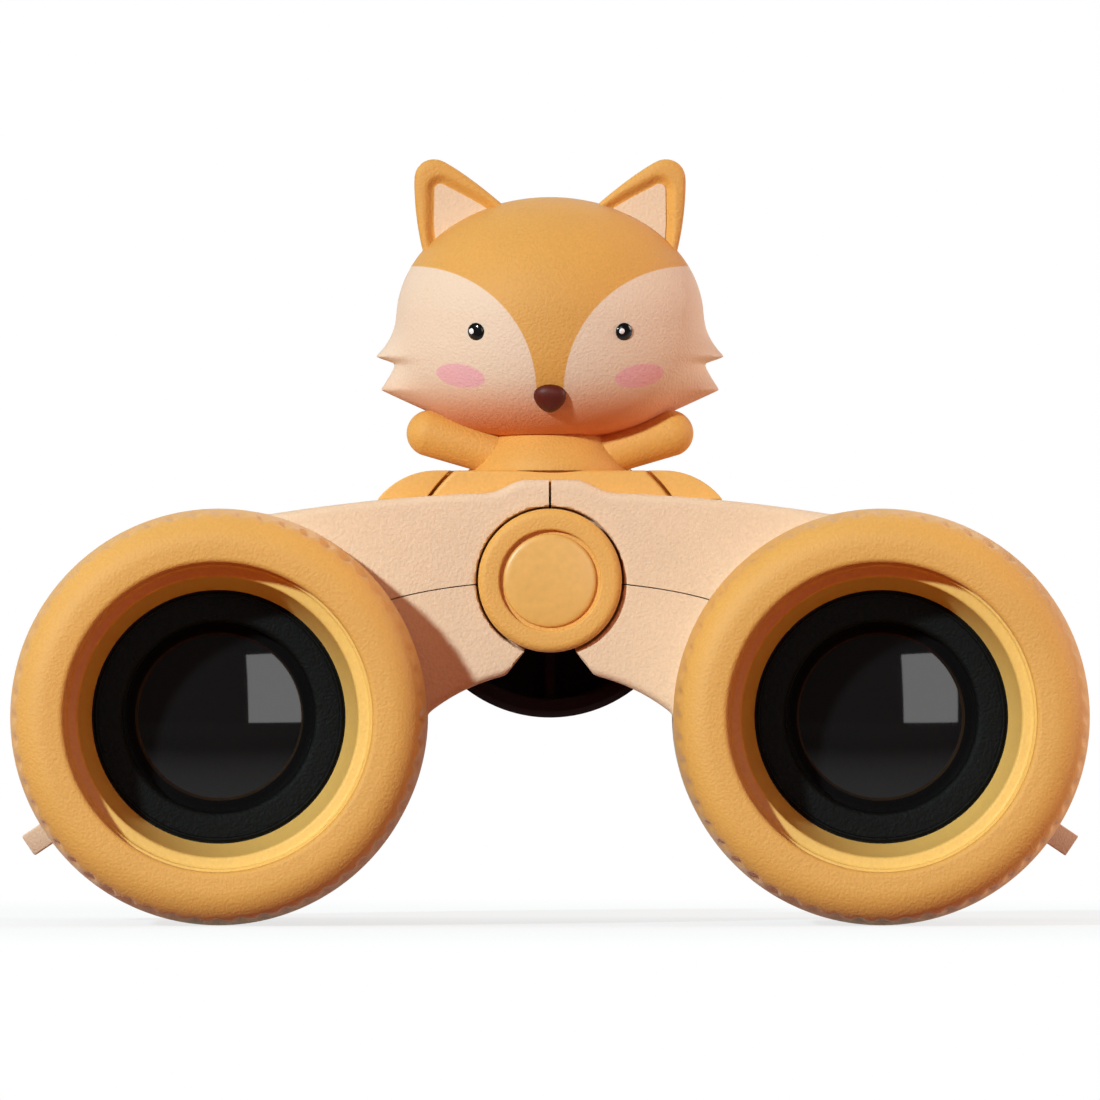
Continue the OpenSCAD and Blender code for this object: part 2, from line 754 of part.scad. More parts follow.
// What is cut from both shells of a half: the arch, the gap under the hinge, the cap's recess and the bore
module half_cuts() {
    seam_x = seam_gap / 2;
    gap_a = fold_max + fold_spare;
    gap_top = pocket_r * [sin(gap_a), -cos(gap_a)];
    gap_low = gap_top + arch_r * [sin(gap_flare), -cos(gap_flare)];
    flare_r = bridge_edge_r;
    translate([0, 0, arch_z]) lathe() polygon(concat(
        [[0, bridge_end_y + over], [0, bridge_y - over], [arch_r + flare_r, bridge_y - over]],
        arc([arch_r + flare_r, bridge_y + flare_r], flare_r, 270, 180),
        arc([arch_r + flare_r, bridge_end_y - flare_r], flare_r, 180, 90),
        [[arch_r + flare_r, bridge_end_y + over]]));
    at_hinge() {
        slab(bridge_y - over, bridge_end_y + over) polygon([
            [0, 0], [-gap_top[0], gap_top[1]], [-gap_low[0], gap_low[1]],
            [gap_low[0], gap_low[1]], [gap_top[0], gap_top[1]]]);
        rod(recess_r, bridge_y - over, skin_y);
    }
    block([-axis_x, skin_y, deck_z], [-seam_x, bridge_end_y + over, hinge_z + hump_r + over]);
    at_barrel() lathe() polygon([
        [0, 0], [cell_r, 0], [cell_r, stop_y], [stop_r, stop_y], [stop_r, stop_y + stop_t],
        [bore_r, stop_y + stop_t], [bore_r, rear_wall_y], [guide_r, rear_wall_y],
        [guide_r, barrel_end_y + over], [0, barrel_end_y + over]]);
}

// Radius of the objective tube's body, and of the stop that it passes through
objective_r = lens_r + fit + objective_wall;
stop_r = objective_r + 2 * slide_fit;

module half_shell(upper) {
    intersection() {
        difference() {
            union() {
                barrel_body();
                bridge_arm();
            }
            half_cuts();
        }
        slab(0, body_len) parting_region(upper);
    }
}

// The screws stand in the arm, between the knuckle's pocket and the barrel's bore
screw_x = (recess_r + axis_x - barrel_r) / 2;
screw_low_z = arch_z + sqrt(arch_r * arch_r - screw_x * screw_x) + shell_screw_head_t * 2;
screw_top_z = deck_z - crown_cover;
screw_ys = [skin_y + knuckle_w / 2, middle_y + washer_t + knuckle_w / 2];

module shell_screw_shapes(grow) {
    for (y = screw_ys) translate([-screw_x, y - body_len / 2, 0]) {
        translate([0, 0, screw_low_z - grow * arch_r])
            cylinder(r = shell_screw_head_d / 2 + grow * fit, h = shell_screw_head_t + grow * arch_r);
        translate([0, 0, screw_low_z + shell_screw_head_t])
            cylinder(r = shell_screw_d / 2 + grow * fit, h = screw_top_z - screw_low_z - shell_screw_head_t);
    }
}

module upper_shell(right) {
    knuckle_y = right ? middle_y + washer_t : skin_y;
    other_y = right ? skin_y : middle_y;
    other_end_y = right ? middle_y + washer_t : bridge_end_y + over;
    color(beige) on_side(right) difference() {
        union() {
            difference() {
                half_shell(true);
                at_hinge() rod(pocket_r, other_y, other_end_y);
            }
            at_hinge() rod(knuckle_r, knuckle_y, knuckle_y + knuckle_w);
        }
        at_hinge() rod(bolt_r + fit, skin_y - over, bridge_end_y + over);
        shell_screw_shapes(1);
    }
}

module lower_shell(right) {
    color(beige) on_side(right) difference() {
        half_shell(false);
        at_hinge() rod(pocket_r, skin_y - over, bridge_end_y + over);
        shell_screw_shapes(1);
        lug_shape(2 * fit);
    }
}

module shell_screws(right) {
    color(steel) on_side(right) shell_screw_shapes(0);
}

// Side view of a strap lug, as radius from the barrel's axis and depth, with its tongue in the shell
lug_end_y = barrel_end_y + lug_reach - over;
lug_top_r = barrel_r + lug_reach;
lug_low_r = barrel_r - lug_reach + over;
lug_hole = [barrel_r, lug_end_y - lug_reach - over / 2];

module lug_shape(grow) {
    tongue_r = barrel_r - rear_wall / 2;
    tongue_y = lug_end_y - lug_len;
    at_barrel() rotate([0, 180 - lug_angle, 0])
        translate([0, -body_len / 2, -(lug_t + grow) / 2]) linear_extrude(lug_t + grow) polygon([
            [tongue_r, tongue_y], [barrel_r, tongue_y - shell_wall], [lug_top_r, tongue_y + shell_wall],
            [lug_top_r, lug_end_y - lug_reach / 2], [lug_top_r - lug_reach / 2, lug_end_y],
            [lug_low_r, lug_end_y], [lug_low_r, barrel_end_y - shell_wall],
            [tongue_r, barrel_end_y - shell_wall]]);
}

module strap_lug(right) {
    color(beige) on_side(right) difference() {
        lug_shape(0);
        at_barrel() rotate([0, 180 - lug_angle, 0])
            translate([lug_hole[0], lug_hole[1] - body_len / 2, -lug_t])
                cylinder(r = lug_hole_d / 2, h = 2 * lug_t);
    }
}

module saddle_pad(right) {
    pad_z = saddle_z - pad_round_r;
    color(orange) on_side(right) slab(skin_y + turn_clear, bridge_end_y - over) difference() {
        union() {
            translate([-pad_centre, pad_z]) circle(pad_round_r);
            translate([-pad_centre, pad_z]) square([pad_centre, pad_round_r]);
        }
        translate([0, hinge_z]) circle(saddle_side_r + saddle_gap);
        translate([-axis_x, deck_z - axis_z]) square([2 * axis_x, axis_z]);
    }
}

// Objective pieces, from the front inwards

module bumper_ring(right) {
    color(orange) on_side(right) at_barrel() lathe() polygon(concat(
        arc([mouth_r + mouth_edge_r, mouth_edge_r], mouth_edge_r, 180, 270),
        arc([ring_r - ring_edge_r, ring_edge_r], ring_edge_r, -90, 0),
        [[ring_r, ring_len], [neck_r + fit, ring_len], [neck_r + fit, ring_lip], [mouth_r, ring_lip]]));
}

module objective_hood(right) {
    step_y = ring_lip + (retainer_y - ring_lip) / 4;
    step_r = mouth_r - hood_step_in;
    step = hood_step_in / 4;
    color(orange) on_side(right) at_barrel() lathe() polygon([
        [insert_r, ring_lip], [insert_r, retainer_y], [mouth_r - hood_back_in, retainer_y],
        [step_r - step, step_y + step], [step_r, step_y], [mouth_r - step, step_y - step],
        [mouth_r - step, ring_lip]]);
}

module lens_retainer(right) {
    chamfer = retainer_t / 4;
    color(black) on_side(right) at_barrel() lathe() polygon([
        [insert_r, retainer_y], [insert_r, flange_y], [aperture_r, flange_y],
        [aperture_r, retainer_y + chamfer], [aperture_r + chamfer, retainer_y]]);
}

module objective_lens(right) {
    curve_r = aperture_r - slide_fit;
    ball_r = (curve_r * curve_r + lens_bulge * lens_bulge) / (2 * lens_bulge);
    spread = asin(curve_r / ball_r);
    color(glass) on_side(right) at_barrel() lathe() polygon(concat(
        [[0, flange_y + lens_edge]],
        arc([0, flange_y - lens_bulge + ball_r], ball_r, -90, -90 + spread, 2 * edge_steps),
        [[lens_r, flange_y], [lens_r, flange_y + lens_edge]]));
}

module objective_tube(right) {
    cell_in_r = lens_r + fit;
    stop_in_r = cell_in_r - objective_wall / 2;
    seat_y = flange_y + lens_edge;
    color(black) on_side(right) at_barrel() lathe() polygon([
        [cell_in_r, flange_y], [insert_r, flange_y], [insert_r, stop_y], [objective_r, stop_y],
        [objective_r, objective_end_y], [cell_in_r, objective_end_y], [cell_in_r, seat_y + objective_wall],
        [stop_in_r, seat_y + objective_wall], [stop_in_r, seat_y], [cell_in_r, seat_y]]);
}

// Eyepiece pieces, which slide in the rear wall

ocular_r = eye_r - eye_tube_wall;
ocular_retainer_y = tube_end_y - ocular_seat_t;
ocular_y = ocular_retainer_y - ocular_edge;

module eyepiece_tube(right) {
    clear_r = ocular_clear_d / 2;
    color(black) on_side(right) at_barrel() lathe() polygon([
        [ocular_r, tube_y], [eye_r, tube_y], [eye_r, tube_end_y], [ocular_r, tube_end_y],
        [ocular_r, ocular_y], [clear_r, ocular_y], [clear_r, ocular_y - ocular_seat_t],
        [ocular_r, ocular_y - ocular_seat_t]]);
}

module ocular_lens(right) {
    clear_r = ocular_clear_d / 2;
    ball_r = (clear_r * clear_r + ocular_hollow * ocular_hollow) / (2 * ocular_hollow);
    spread = asin(clear_r / ball_r);
    color(glass) on_side(right) at_barrel() lathe() polygon(concat(
        [[ocular_r - fit, ocular_retainer_y], [ocular_r - fit, ocular_y], [0, ocular_y]],
        arc([0, ocular_retainer_y - ocular_hollow + ball_r], ball_r, -90, -90 + spread, 2 * edge_steps)));
}

module ocular_retainer(right) {
    color(black) on_side(right) at_barrel()
        sleeve(ocular_r - fit, ocular_clear_d / 2, ocular_retainer_y, tube_end_y);
}

module eyecup(right) {
    rim_r = eyecup_d / 2;
    seat_r = eye_r + fit;
    waist_r = seat_r + eyecup_wall;
    bowl_y = tube_end_y + fit;
    round_r = eyecup_wall / 2;
    color(orange) on_side(right) at_barrel() lathe() polygon(concat(
        [[seat_r, eyecup_y], [waist_r, eyecup_y], [waist_r, bowl_y]],
        arc([rim_r - round_r, body_len - round_r], round_r, 0, 180),
        [[ocular_r, bowl_y + eyecup_wall], [ocular_r, bowl_y], [seat_r, bowl_y]]));
}

hinge_bolt();
hinge_end_nut();
hinge_washers();
hinge_cap();
cap_badge();
fox_base();
fox_torso();
fox_arm(false);  // fox_left_arm
fox_arm(true);  // fox_right_arm
fox_head();
fox_ear(false);  // fox_left_ear
fox_ear(true);  // fox_right_ear
fox_ear_linings();
fox_nose();
fox_eyes();
focus_wheel();
focus_screw();
focus_nut();
nut_clip();
upper_shell(false);  // left_upper_shell
lower_shell(false);  // left_lower_shell
shell_screws(false);  // left_shell_screws
bumper_ring(false);  // left_bumper_ring
objective_hood(false);  // left_objective_hood
lens_retainer(false);  // left_lens_retainer
objective_lens(false);  // left_objective_lens
objective_tube(false);  // left_objective_tube
strap_lug(false);  // left_strap_lug
saddle_pad(false);  // left_saddle_pad
upper_shell(true);  // right_upper_shell
lower_shell(true);  // right_lower_shell
shell_screws(true);  // right_shell_screws
bumper_ring(true);  // right_bumper_ring
objective_hood(true);  // right_objective_hood
lens_retainer(true);  // right_lens_retainer
objective_lens(true);  // right_objective_lens
objective_tube(true);  // right_objective_tube
strap_lug(true);  // right_strap_lug
saddle_pad(true);  // right_saddle_pad
eyepiece_tube(false);  // left_eyepiece_tube
ocular_lens(false);  // left_ocular_lens
ocular_retainer(false);  // left_ocular_retainer
eyecup(false);  // left_eyecup
focus_arm(false);  // left_focus_arm
eyepiece_tube(true);  // right_eyepiece_tube
ocular_lens(true);  // right_ocular_lens
ocular_retainer(true);  // right_ocular_retainer
eyecup(true);  // right_eyecup
focus_arm(true);  // right_focus_arm
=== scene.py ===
import json
from math import atan2, cos, degrees, pi, radians, sin, sqrt, tau

import bmesh
import bpy
from mathutils import Matrix, Vector
from mathutils.geometry import interpolate_bezier


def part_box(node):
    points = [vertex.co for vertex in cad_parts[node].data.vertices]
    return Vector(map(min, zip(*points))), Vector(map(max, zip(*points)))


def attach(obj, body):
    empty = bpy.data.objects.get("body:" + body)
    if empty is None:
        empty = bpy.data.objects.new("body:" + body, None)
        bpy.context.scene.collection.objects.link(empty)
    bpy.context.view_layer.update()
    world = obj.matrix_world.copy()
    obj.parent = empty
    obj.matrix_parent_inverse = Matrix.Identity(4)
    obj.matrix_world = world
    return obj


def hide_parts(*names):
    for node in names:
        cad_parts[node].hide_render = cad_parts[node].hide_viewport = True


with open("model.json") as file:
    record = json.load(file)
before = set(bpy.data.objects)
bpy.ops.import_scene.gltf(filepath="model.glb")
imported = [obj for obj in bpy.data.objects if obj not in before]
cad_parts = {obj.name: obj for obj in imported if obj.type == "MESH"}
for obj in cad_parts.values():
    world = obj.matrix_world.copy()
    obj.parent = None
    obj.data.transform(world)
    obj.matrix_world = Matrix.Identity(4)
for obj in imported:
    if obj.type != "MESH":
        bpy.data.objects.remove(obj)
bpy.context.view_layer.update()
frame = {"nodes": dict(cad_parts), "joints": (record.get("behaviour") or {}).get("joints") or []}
scene = bpy.context.scene

# Barrel shells and bridge
# Each half of the body is a barrel with its arm of the bridge, moulded in matte beige plastic.
# An upper and a lower shell meet along a curved parting line, and two screws from below hold them.

mm = 0.001
ring_low, ring_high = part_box("left_bumper_ring")
front_y = ring_low.y
axis_x = -(ring_low.x + ring_high.x) / 2
axis_z = (ring_low.z + ring_high.z) / 2
hinge_z = next(joint for joint in frame["joints"] if joint["name"] == "left_fold")["pos_m"][2]
SIDES = {"left": -1, "right": 1}

barrel_r = 22 * mm
shell_wall = 2 * mm
barrel_front = 11 * mm
barrel_back = 55 * mm
shoulder_r = 7 * mm
guide_r = 13.1 * mm
rear_wall = 9 * mm
neck_r = 17 * mm
bridge_front = 14 * mm
skin_back = 17 * mm
bridge_back = 28 * mm
bridge_round = 2 * mm
crown_z = hinge_z + 9.4 * mm
deck_z = crown_z - 0.78 * mm
bow_r = 185 * mm
hump_h = 1.3 * mm
hump_flat = 2.6 * mm
hump_foot = 6.6 * mm
arch_r = 20.5 * mm
arch_z = hinge_z - 30 * mm
recess_r = 7.85 * mm
pocket_r = 7.35 * mm
knuckle_r = 7 * mm
bolt_r = 2.55 * mm
seam = 0.13 * mm
overrun = 1 * mm
gap_turn = 19.5
gap_flare = 38
parting_gap = 0.12 * mm
parting_sag = 5.5
parting_tail = 5070
parting_drop = 0.05 * mm
arm_end = 2 * mm
arm_turn = 181.7
neck_len = 10.5 * mm
collar_round = 0.4 * mm
collar_lap = 0.3 * mm
skin_lap = 0.2 * mm
web_lap = 0.5 * mm
web_reach = 1.2 * mm
web_turn = 80
barrel_steps = 144
mould_grain = 0.34 * mm
weld = 0.002 * mm
cloud_size = 12 * mm
speckle_share = 0.6
rough_spread = 0.07
veil_rough = 0.4


def srgb(red, green, blue):
    """A colour as a picture shows it, from 0 to 255, turned into the shader's linear one."""
    shares = [value / 255 for value in (red, green, blue)]
    return [c / 12.92 if c <= 0.04045 else ((c + 0.055) / 1.055) ** 2.4 for c in shares] + [1]


def new_material(name):
    """An empty node material, and its tree."""
    material = bpy.data.materials.new(name)
    material.use_nodes = True
    return material, material.node_tree


def wire(tree, node, sockets):
    """Gives each named socket of a node a value, or the output of another node."""
    for key, value in sockets.items():
        if isinstance(value, bpy.types.NodeSocket):
            tree.links.new(value, node.inputs[key])
        else:
            node.inputs[key].default_value = value


def add_node(tree, kind, sockets, **settings):
    """Adds a shader node with its settings and its wired sockets."""
    node = tree.nodes.new(f"ShaderNode{kind}")
    for key, value in settings.items():
        setattr(node, key, value)
    wire(tree, node, sockets)
    return node


def mixed(tree, factor, under, over):
    """One colour laid over another."""
    sockets = {"Factor": factor, "A": under, "B": over}
    return add_node(tree, "Mix", sockets, data_type="RGBA").outputs["Result"]


def maths(tree, operation, *values):
    """One number worked out from others."""
    return add_node(tree, "Math", dict(enumerate(values)), operation=operation).outputs[0]


def ramp(tree, value, start=0, end=1, low=0, high=1, kind="LINEAR"):
    """A number that goes from low to high while another goes from start to end."""
    sockets = {"Value": value, "From Min": start, "From Max": end, "To Min": low, "To Max": high}
    return add_node(tree, "MapRange", sockets, interpolation_type=kind).outputs["Result"]


def shade(colour, share):
    """A colour made darker or lighter."""
    return [min(c * share, 1) for c in colour[:3]] + [1]


def moulded_finish(name, colour, rough, grain_size, grain_height, mottle=0.2, gloss=0.5, veil=0.0):
    """Plastic, rubber or vinyl with a fine grain, a slight mottle, uneven roughness and a dusty veil."""
    material, tree = new_material(name)
    place = add_node(tree, "TexCoord", {}).outputs["Object"]
    grain = add_node(tree, "TexNoise", {"Vector": place, "Scale": 1 / grain_size, "Detail": 3}).outputs["Fac"]
    cloud = add_node(tree, "TexNoise", {"Vector": place, "Scale": 1 / cloud_size, "Detail": 4}).outputs["Fac"]
    speckle = add_node(tree, "Mix", {"Factor": speckle_share, "A": cloud, "B": grain}).outputs["Result"]
    tint = mixed(tree, speckle, shade(colour, 1 - mottle), shade(colour, 1 + mottle))
    polish = ramp(tree, grain, low=rough - rough_spread, high=rough + rough_spread)
    bump = add_node(tree, "Bump", {
        "Strength": 1, "Distance": grain_height, "Height": grain}).outputs["Normal"]
    wire(tree, tree.nodes["Principled BSDF"], {
        "Base Color": tint, "Roughness": polish, "Normal": bump, "Specular IOR Level": gloss,
        "Sheen Weight": veil, "Sheen Roughness": veil_rough})
    return material


def arc(centre, r, start, end, steps=8):
    """Points of an arc, with its angles in degrees."""
    turns = [radians(start + (end - start) * i / steps) for i in range(steps + 1)]
    return [(centre[0] + r * cos(turn), centre[1] + r * sin(turn)) for turn in turns]


def closed_skin(bm):
    """Merges a mesh's doubles and points its faces outwards."""
    bmesh.ops.remove_doubles(bm, verts=bm.verts, dist=weld)
    bmesh.ops.recalc_face_normals(bm, faces=bm.faces)
    return bm


def turned(outline, x, z, steps=160, loop=True):
    """Spins an outline of radius and depth about the fore-and-aft line at x, z."""
    bm = bmesh.new()
    verts = [bm.verts.new((x + r, front_y + depth, z)) for r, depth in outline]
    ends = verts[1:] + verts[:1] if loop else verts[1:]
    edges = [bm.edges.new(pair) for pair in zip(verts, ends)]
    bmesh.ops.spin(bm, geom=verts + edges, cent=(x, 0, z), axis=(0, 1, 0), angle=tau, steps=steps,
                   use_merge=True)
    return closed_skin(bm)


def prism(outline, near, far, rounding=0.0, soft=None, both=False, segments=5):
    """Pulls a front-view outline from depth near to depth far, and rounds its soft front edges."""
    bm = bmesh.new()
    verts = [bm.verts.new((x, front_y + near, z)) for x, z in outline]
    face = bm.faces.new(verts)
    pulled = bmesh.ops.extrude_face_region(bm, geom=[face], use_keep_orig=True)["geom"]
    backs = [part for part in pulled if isinstance(part, bmesh.types.BMVert)]
    bmesh.ops.translate(bm, verts=backs, vec=(0, far - near, 0))
    closed_skin(bm)
    if rounding:
        count = len(verts)
        soft = range(count) if soft is None else soft
        edges = [bm.edges.get((verts[i], verts[(i + 1) % count])) for i in soft]
        if both:
            back_of = {vert: next(edge.other_vert(vert) for edge in vert.link_edges
                                  if edge.other_vert(vert) in backs) for vert in verts}
            edges += [bm.edges.get((back_of[verts[i]], back_of[verts[(i + 1) % count]])) for i in soft]
        bmesh.ops.bevel(bm, geom=edges, offset=rounding, affect="EDGES", segments=segments, profile=0.5,
                        material=-1, clamp_overlap=True)
    return bm


def joined(parts):
    """One mesh of several, which may overlap."""
    whole = bmesh.new()
    for part in parts:
        mesh = bpy.data.meshes.new("part")
        part.to_mesh(mesh)
        part.free()
        whole.from_mesh(mesh)
        bpy.data.meshes.remove(mesh)
    return whole


def worked(bm, kind, **settings):
    """Passes a mesh through one modifier."""
    mesh = bpy.data.meshes.new("blank")
    bm.to_mesh(mesh)
    bm.free()
    blank = bpy.data.objects.new("blank", mesh)
    scene.collection.objects.link(blank)
    tool = blank.modifiers.new("tool", kind)
    for key, value in settings.items():
        setattr(tool, key, value)
    result = bpy.data.meshes.new_from_object(blank.evaluated_get(bpy.context.evaluated_depsgraph_get()))
    out = bmesh.new()
    out.from_mesh(result)
    bpy.data.objects.remove(blank)
    bpy.data.meshes.remove(mesh)
    bpy.data.meshes.remove(result)
    return out


def smoothed(bm, verts, passes):
    """Eases the given points towards their neighbours."""
    for _ in range(passes):
        bmesh.ops.smooth_vert(bm, verts=verts, factor=0.5, use_axis_x=True, use_axis_y=True, use_axis_z=True)
    return bm


def add_piece(name, bm, material, body, slot, *nodes, crease=40):
    """Makes a finished mesh a piece of the object that stands for CAD nodes and rides on a body."""
    mesh = bpy.data.meshes.new(name)
    bm.to_mesh(mesh)
    bm.free()
    mesh.materials.append(material)
    mesh.shade_smooth()
    mesh.set_sharp_from_angle(angle=radians(crease))
    piece = bpy.data.objects.new(name, mesh)
    scene.collection.objects.link(piece)
    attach(piece, body)
    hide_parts(*nodes)
    return piece


def bridge_top(u, hump):
    """Height of the bridge's top edge at a distance from the middle, with or without the hump."""
    t = min(max((u - hump_flat) / (hump_foot - hump_flat), 0), 1)
    rise = hump * (1 - t * t * (3 - 2 * t))
    return crown_z - u * u / (2 * bow_r) + rise


def arm_outline(side, hump, top_limit, inner_r):
    """Front view of an arm of the bridge, and the numbers of its soft edges."""
    reach = axis_x - arm_end
    near = [-overrun + i * hump_foot / 14 for i in range(21)]
    far = [near[-1] + (i + 1) * (reach - near[-1]) / 10 for i in range(10)]
    top = [(u, min(bridge_top(u, hump), top_limit)) for u in near + far]
    inset_r = barrel_r - shell_wall / 2
    start = degrees(atan2(top[-1][1] - axis_z, reach - axis_x))
    barrel_side = arc((axis_x, axis_z), inset_r, start, arm_turn, 14)[1:]
    turn = radians(gap_turn)
    flare = radians(gap_flare)
    gap_top = (inner_r * sin(turn), hinge_z - inner_r * cos(turn))
    slope = Vector((sin(flare), -cos(flare)))
    to_arch = Vector(gap_top) - Vector((0, arch_z))
    along = to_arch.dot(slope)
    run = along + sqrt(along * along - to_arch.length_squared + arch_r * arch_r)
    corner = Vector(gap_top) - slope * run
    arch_start = degrees(atan2(barrel_side[-1][1] - arch_z, barrel_side[-1][0]))
    arch_end = degrees(atan2(corner.y - arch_z, corner.x))
    arch = arc((0, arch_z), arch_r, arch_start, arch_end, 10)[1:]
    last = degrees(atan2(sqrt(inner_r ** 2 - overrun ** 2), -overrun))
    round_hinge = arc((0, hinge_z), inner_r, gap_turn - 90, last, 20)
    outline = top + barrel_side + arch + round_hinge
    soft = list(range(len(top) - 1))
    arch_first = len(top) + len(barrel_side) - 1
    soft += range(arch_first, arch_first + len(arch))
    return [(side * u, z) for u, z in outline], soft


def parting_height(x):
    """Height of the parting line at a place across the body."""
    u = min(abs(x), axis_x)
    return max(hinge_z - parting_drop - parting_sag * u ** 2 - parting_tail * u ** 4, axis_z)


def cut_off(bm, point, way):
    """Cuts a mesh with a plane, keeps the part that the plane faces, and closes the cut."""
    cut = bmesh.ops.bisect_plane(bm, geom=bm.verts[:] + bm.edges[:] + bm.faces[:], dist=weld / 2,
                                 plane_co=point, plane_no=way, clear_inner=True)["geom_cut"]
    rim = [part for part in cut if isinstance(part, bmesh.types.BMEdge)]
    bmesh.ops.triangle_fill(bm, edges=rim, use_beauty=True)
    return closed_skin(bm)


def parted(bm, sign):
    """Keeps what lies above or below the curved parting line, which is levelled for the cut."""
    for vert in bm.verts:
        vert.co.z -= parting_height(vert.co.x)
    cut_off(bm, (0, 0, sign * parting_gap / 2), (0, 0, sign))
    for vert in bm.verts:
        vert.co.z += parting_height(vert.co.x)
    return bm


beige_plastic = moulded_finish("beige_plastic", srgb(238, 206, 174), 0.6, 0.3 * mm, 0.09 * mm,
                               veil=0.1, gloss=0.4)
knuckle_depths = {"left": (17 * mm, 22.35 * mm), "right": (22.65 * mm, 28 * mm)}
screw_x = (recess_r + axis_x - barrel_r) / 2
screw_cover = 3.9 * mm
screw_head_top = arch_z + sqrt(arch_r ** 2 - screw_x ** 2) + screw_cover
head_hole_r = 2.3 * mm
head_hole_h = 8 * mm


def drilled(bm, x):
    """Sinks a hole for the head of each shell screw into the arm from below."""
    drill = bmesh.new()
    for near, far in knuckle_depths.values():
        place = Matrix.Translation((x, front_y + (near + far) / 2, screw_head_top - head_hole_h / 2))
        bmesh.ops.create_cone(drill, cap_ends=True, segments=48, radius1=head_hole_r, radius2=head_hole_r,
                              depth=head_hole_h, matrix=place)
    mesh = bpy.data.meshes.new("drill")
    drill.to_mesh(mesh)
    drill.free()
    drill = bpy.data.objects.new("drill", mesh)
    scene.collection.objects.link(drill)
    out = worked(bm, "BOOLEAN", operation="DIFFERENCE", solver="FAST", object=drill)
    bpy.data.objects.remove(drill)
    bpy.data.meshes.remove(mesh)
    return out


collar_outline = (
    [(neck_r, barrel_front)]
    + arc((barrel_r - collar_round, barrel_front + collar_round), collar_round, -90, 0, 4)
    + [(barrel_r, bridge_front + collar_lap), (neck_r, bridge_front + collar_lap)])
bore_r = barrel_r - shell_wall
barrel_outline = (
    [(neck_r, bridge_front), (barrel_r, bridge_front)]
    + arc((barrel_r - shoulder_r, barrel_back - shoulder_r), shoulder_r, 0, 90, 16)
    + [(guide_r, barrel_back), (guide_r, barrel_back - rear_wall), (bore_r, barrel_back - rear_wall),
       (bore_r, barrel_front + neck_len), (neck_r, barrel_front + neck_len)])

for name, side in SIDES.items():
    skin_outline, skin_soft = arm_outline(side, hump_h, crown_z + hump_h, recess_r)
    body_outline, body_soft = arm_outline(side, 0, deck_z, pocket_r)
    near, far = knuckle_depths[name]
    knuckle = turned([(bolt_r, near), (knuckle_r, near), (knuckle_r, far), (bolt_r, far)], 0, hinge_z, 64)
    web = (arc((0, hinge_z), knuckle_r - web_lap, 0, web_turn)
           + arc((0, hinge_z), pocket_r + web_reach, web_turn, 0))
    half = joined([
        turned(barrel_outline, side * axis_x, axis_z, barrel_steps),
        prism(skin_outline, bridge_front, skin_back + skin_lap, bridge_round, skin_soft),
        prism(body_outline, skin_back - skin_lap, bridge_back, bridge_round, body_soft)])
    half = worked(half, "REMESH", mode="VOXEL", voxel_size=mould_grain)
    smoothed(half, half.verts, 2)
    cut_off(half, (side * seam, 0, 0), (side, 0, 0))
    collar = turned(collar_outline, side * axis_x, axis_z, barrel_steps)
    upper = joined([parted(half.copy(), 1), parted(collar.copy(), 1), knuckle,
                    prism([(side * x, z) for x, z in web], near, far)])
    lower = joined([drilled(parted(half, -1), side * screw_x), parted(collar, -1)])
    add_piece(f"upper_shell_{name}", upper, beige_plastic, f"{name}_half", "beige_plastic",
              f"{name}_upper_shell")
    add_piece(f"lower_shell_{name}", lower, beige_plastic, f"{name}_half", "beige_plastic",
              f"{name}_lower_shell")

# Bumper rings
# A soft orange rubber ring is pressed over the neck in front of each barrel and guards the lens.
# Its outside has a grip of grooves that deepen over the round shoulder and run out at the back.

ring_r = 22 * mm
ring_len = 11 * mm
ring_lip = 2.8 * mm
mouth_r = 16.3 * mm
ring_round = 3.4 * mm
ring_waist = 21.55 * mm
rib_count = 56
rib_depth = 0.5 * mm
rib_start = 1.5 * mm
rib_full = 3.6 * mm
rib_end = 9 * mm
rib_steps = 14
rib_foot = 3 * mm
lip_round = 0.6 * mm
tail_edge = 0.5 * mm
seat_r = neck_r + 1.45 * mm
orange_rubber = moulded_finish("orange_rubber", srgb(232, 174, 86), 0.58, 0.3 * mm, 0.09 * mm,
                               veil=0.1, gloss=0.45)
ring_outline = (
    arc((mouth_r + lip_round, lip_round), lip_round, 180, 270, 5)
    + arc((ring_waist - ring_round, ring_round), ring_round, -90, -6, 16)
    + [(ring_waist + (ring_r - ring_waist) * i / 8, ring_round + (ring_len - ring_round - tail_edge) * i / 8)
       for i in range(1, 8)]
    + arc((ring_r - tail_edge, ring_len - tail_edge), tail_edge, 0, 90, 4)
    + [(seat_r, ring_len), (seat_r, ring_lip), (mouth_r, ring_lip)])


def ribbed(bm, x, z, count, depth, inner_r, fade):
    """Presses a row of grooves into the outside of a turned piece, deepening as fade says."""
    for vert in bm.verts:
        out = Vector((vert.co.x - x, 0, vert.co.z - z))
        if out.length > inner_r:
            wave = (0.5 + 0.5 * cos(count * atan2(out.z, out.x))) ** 2
            vert.co -= out.normalized() * depth * wave * fade(vert.co.y - front_y)
    return bm


def rib_fade(depth):
    """The grooves deepen over the shoulder and run out towards the back."""
    if depth < rib_full:
        t = max((depth - rib_start) / (rib_full - rib_start), 0)
    else:
        t = max((rib_end - depth) / (rib_end - rib_full), 0)
    return t * t * (3 - 2 * t)


for name, side in SIDES.items():
    ring = turned(ring_outline, side * axis_x, axis_z, rib_count * rib_steps)
    ribbed(ring, side * axis_x, axis_z, rib_count, rib_depth, mouth_r + rib_foot, rib_fade)
    add_piece(f"bumper_ring_{name}", ring, orange_rubber, f"{name}_half", "orange_rubber",
              f"{name}_bumper_ring")

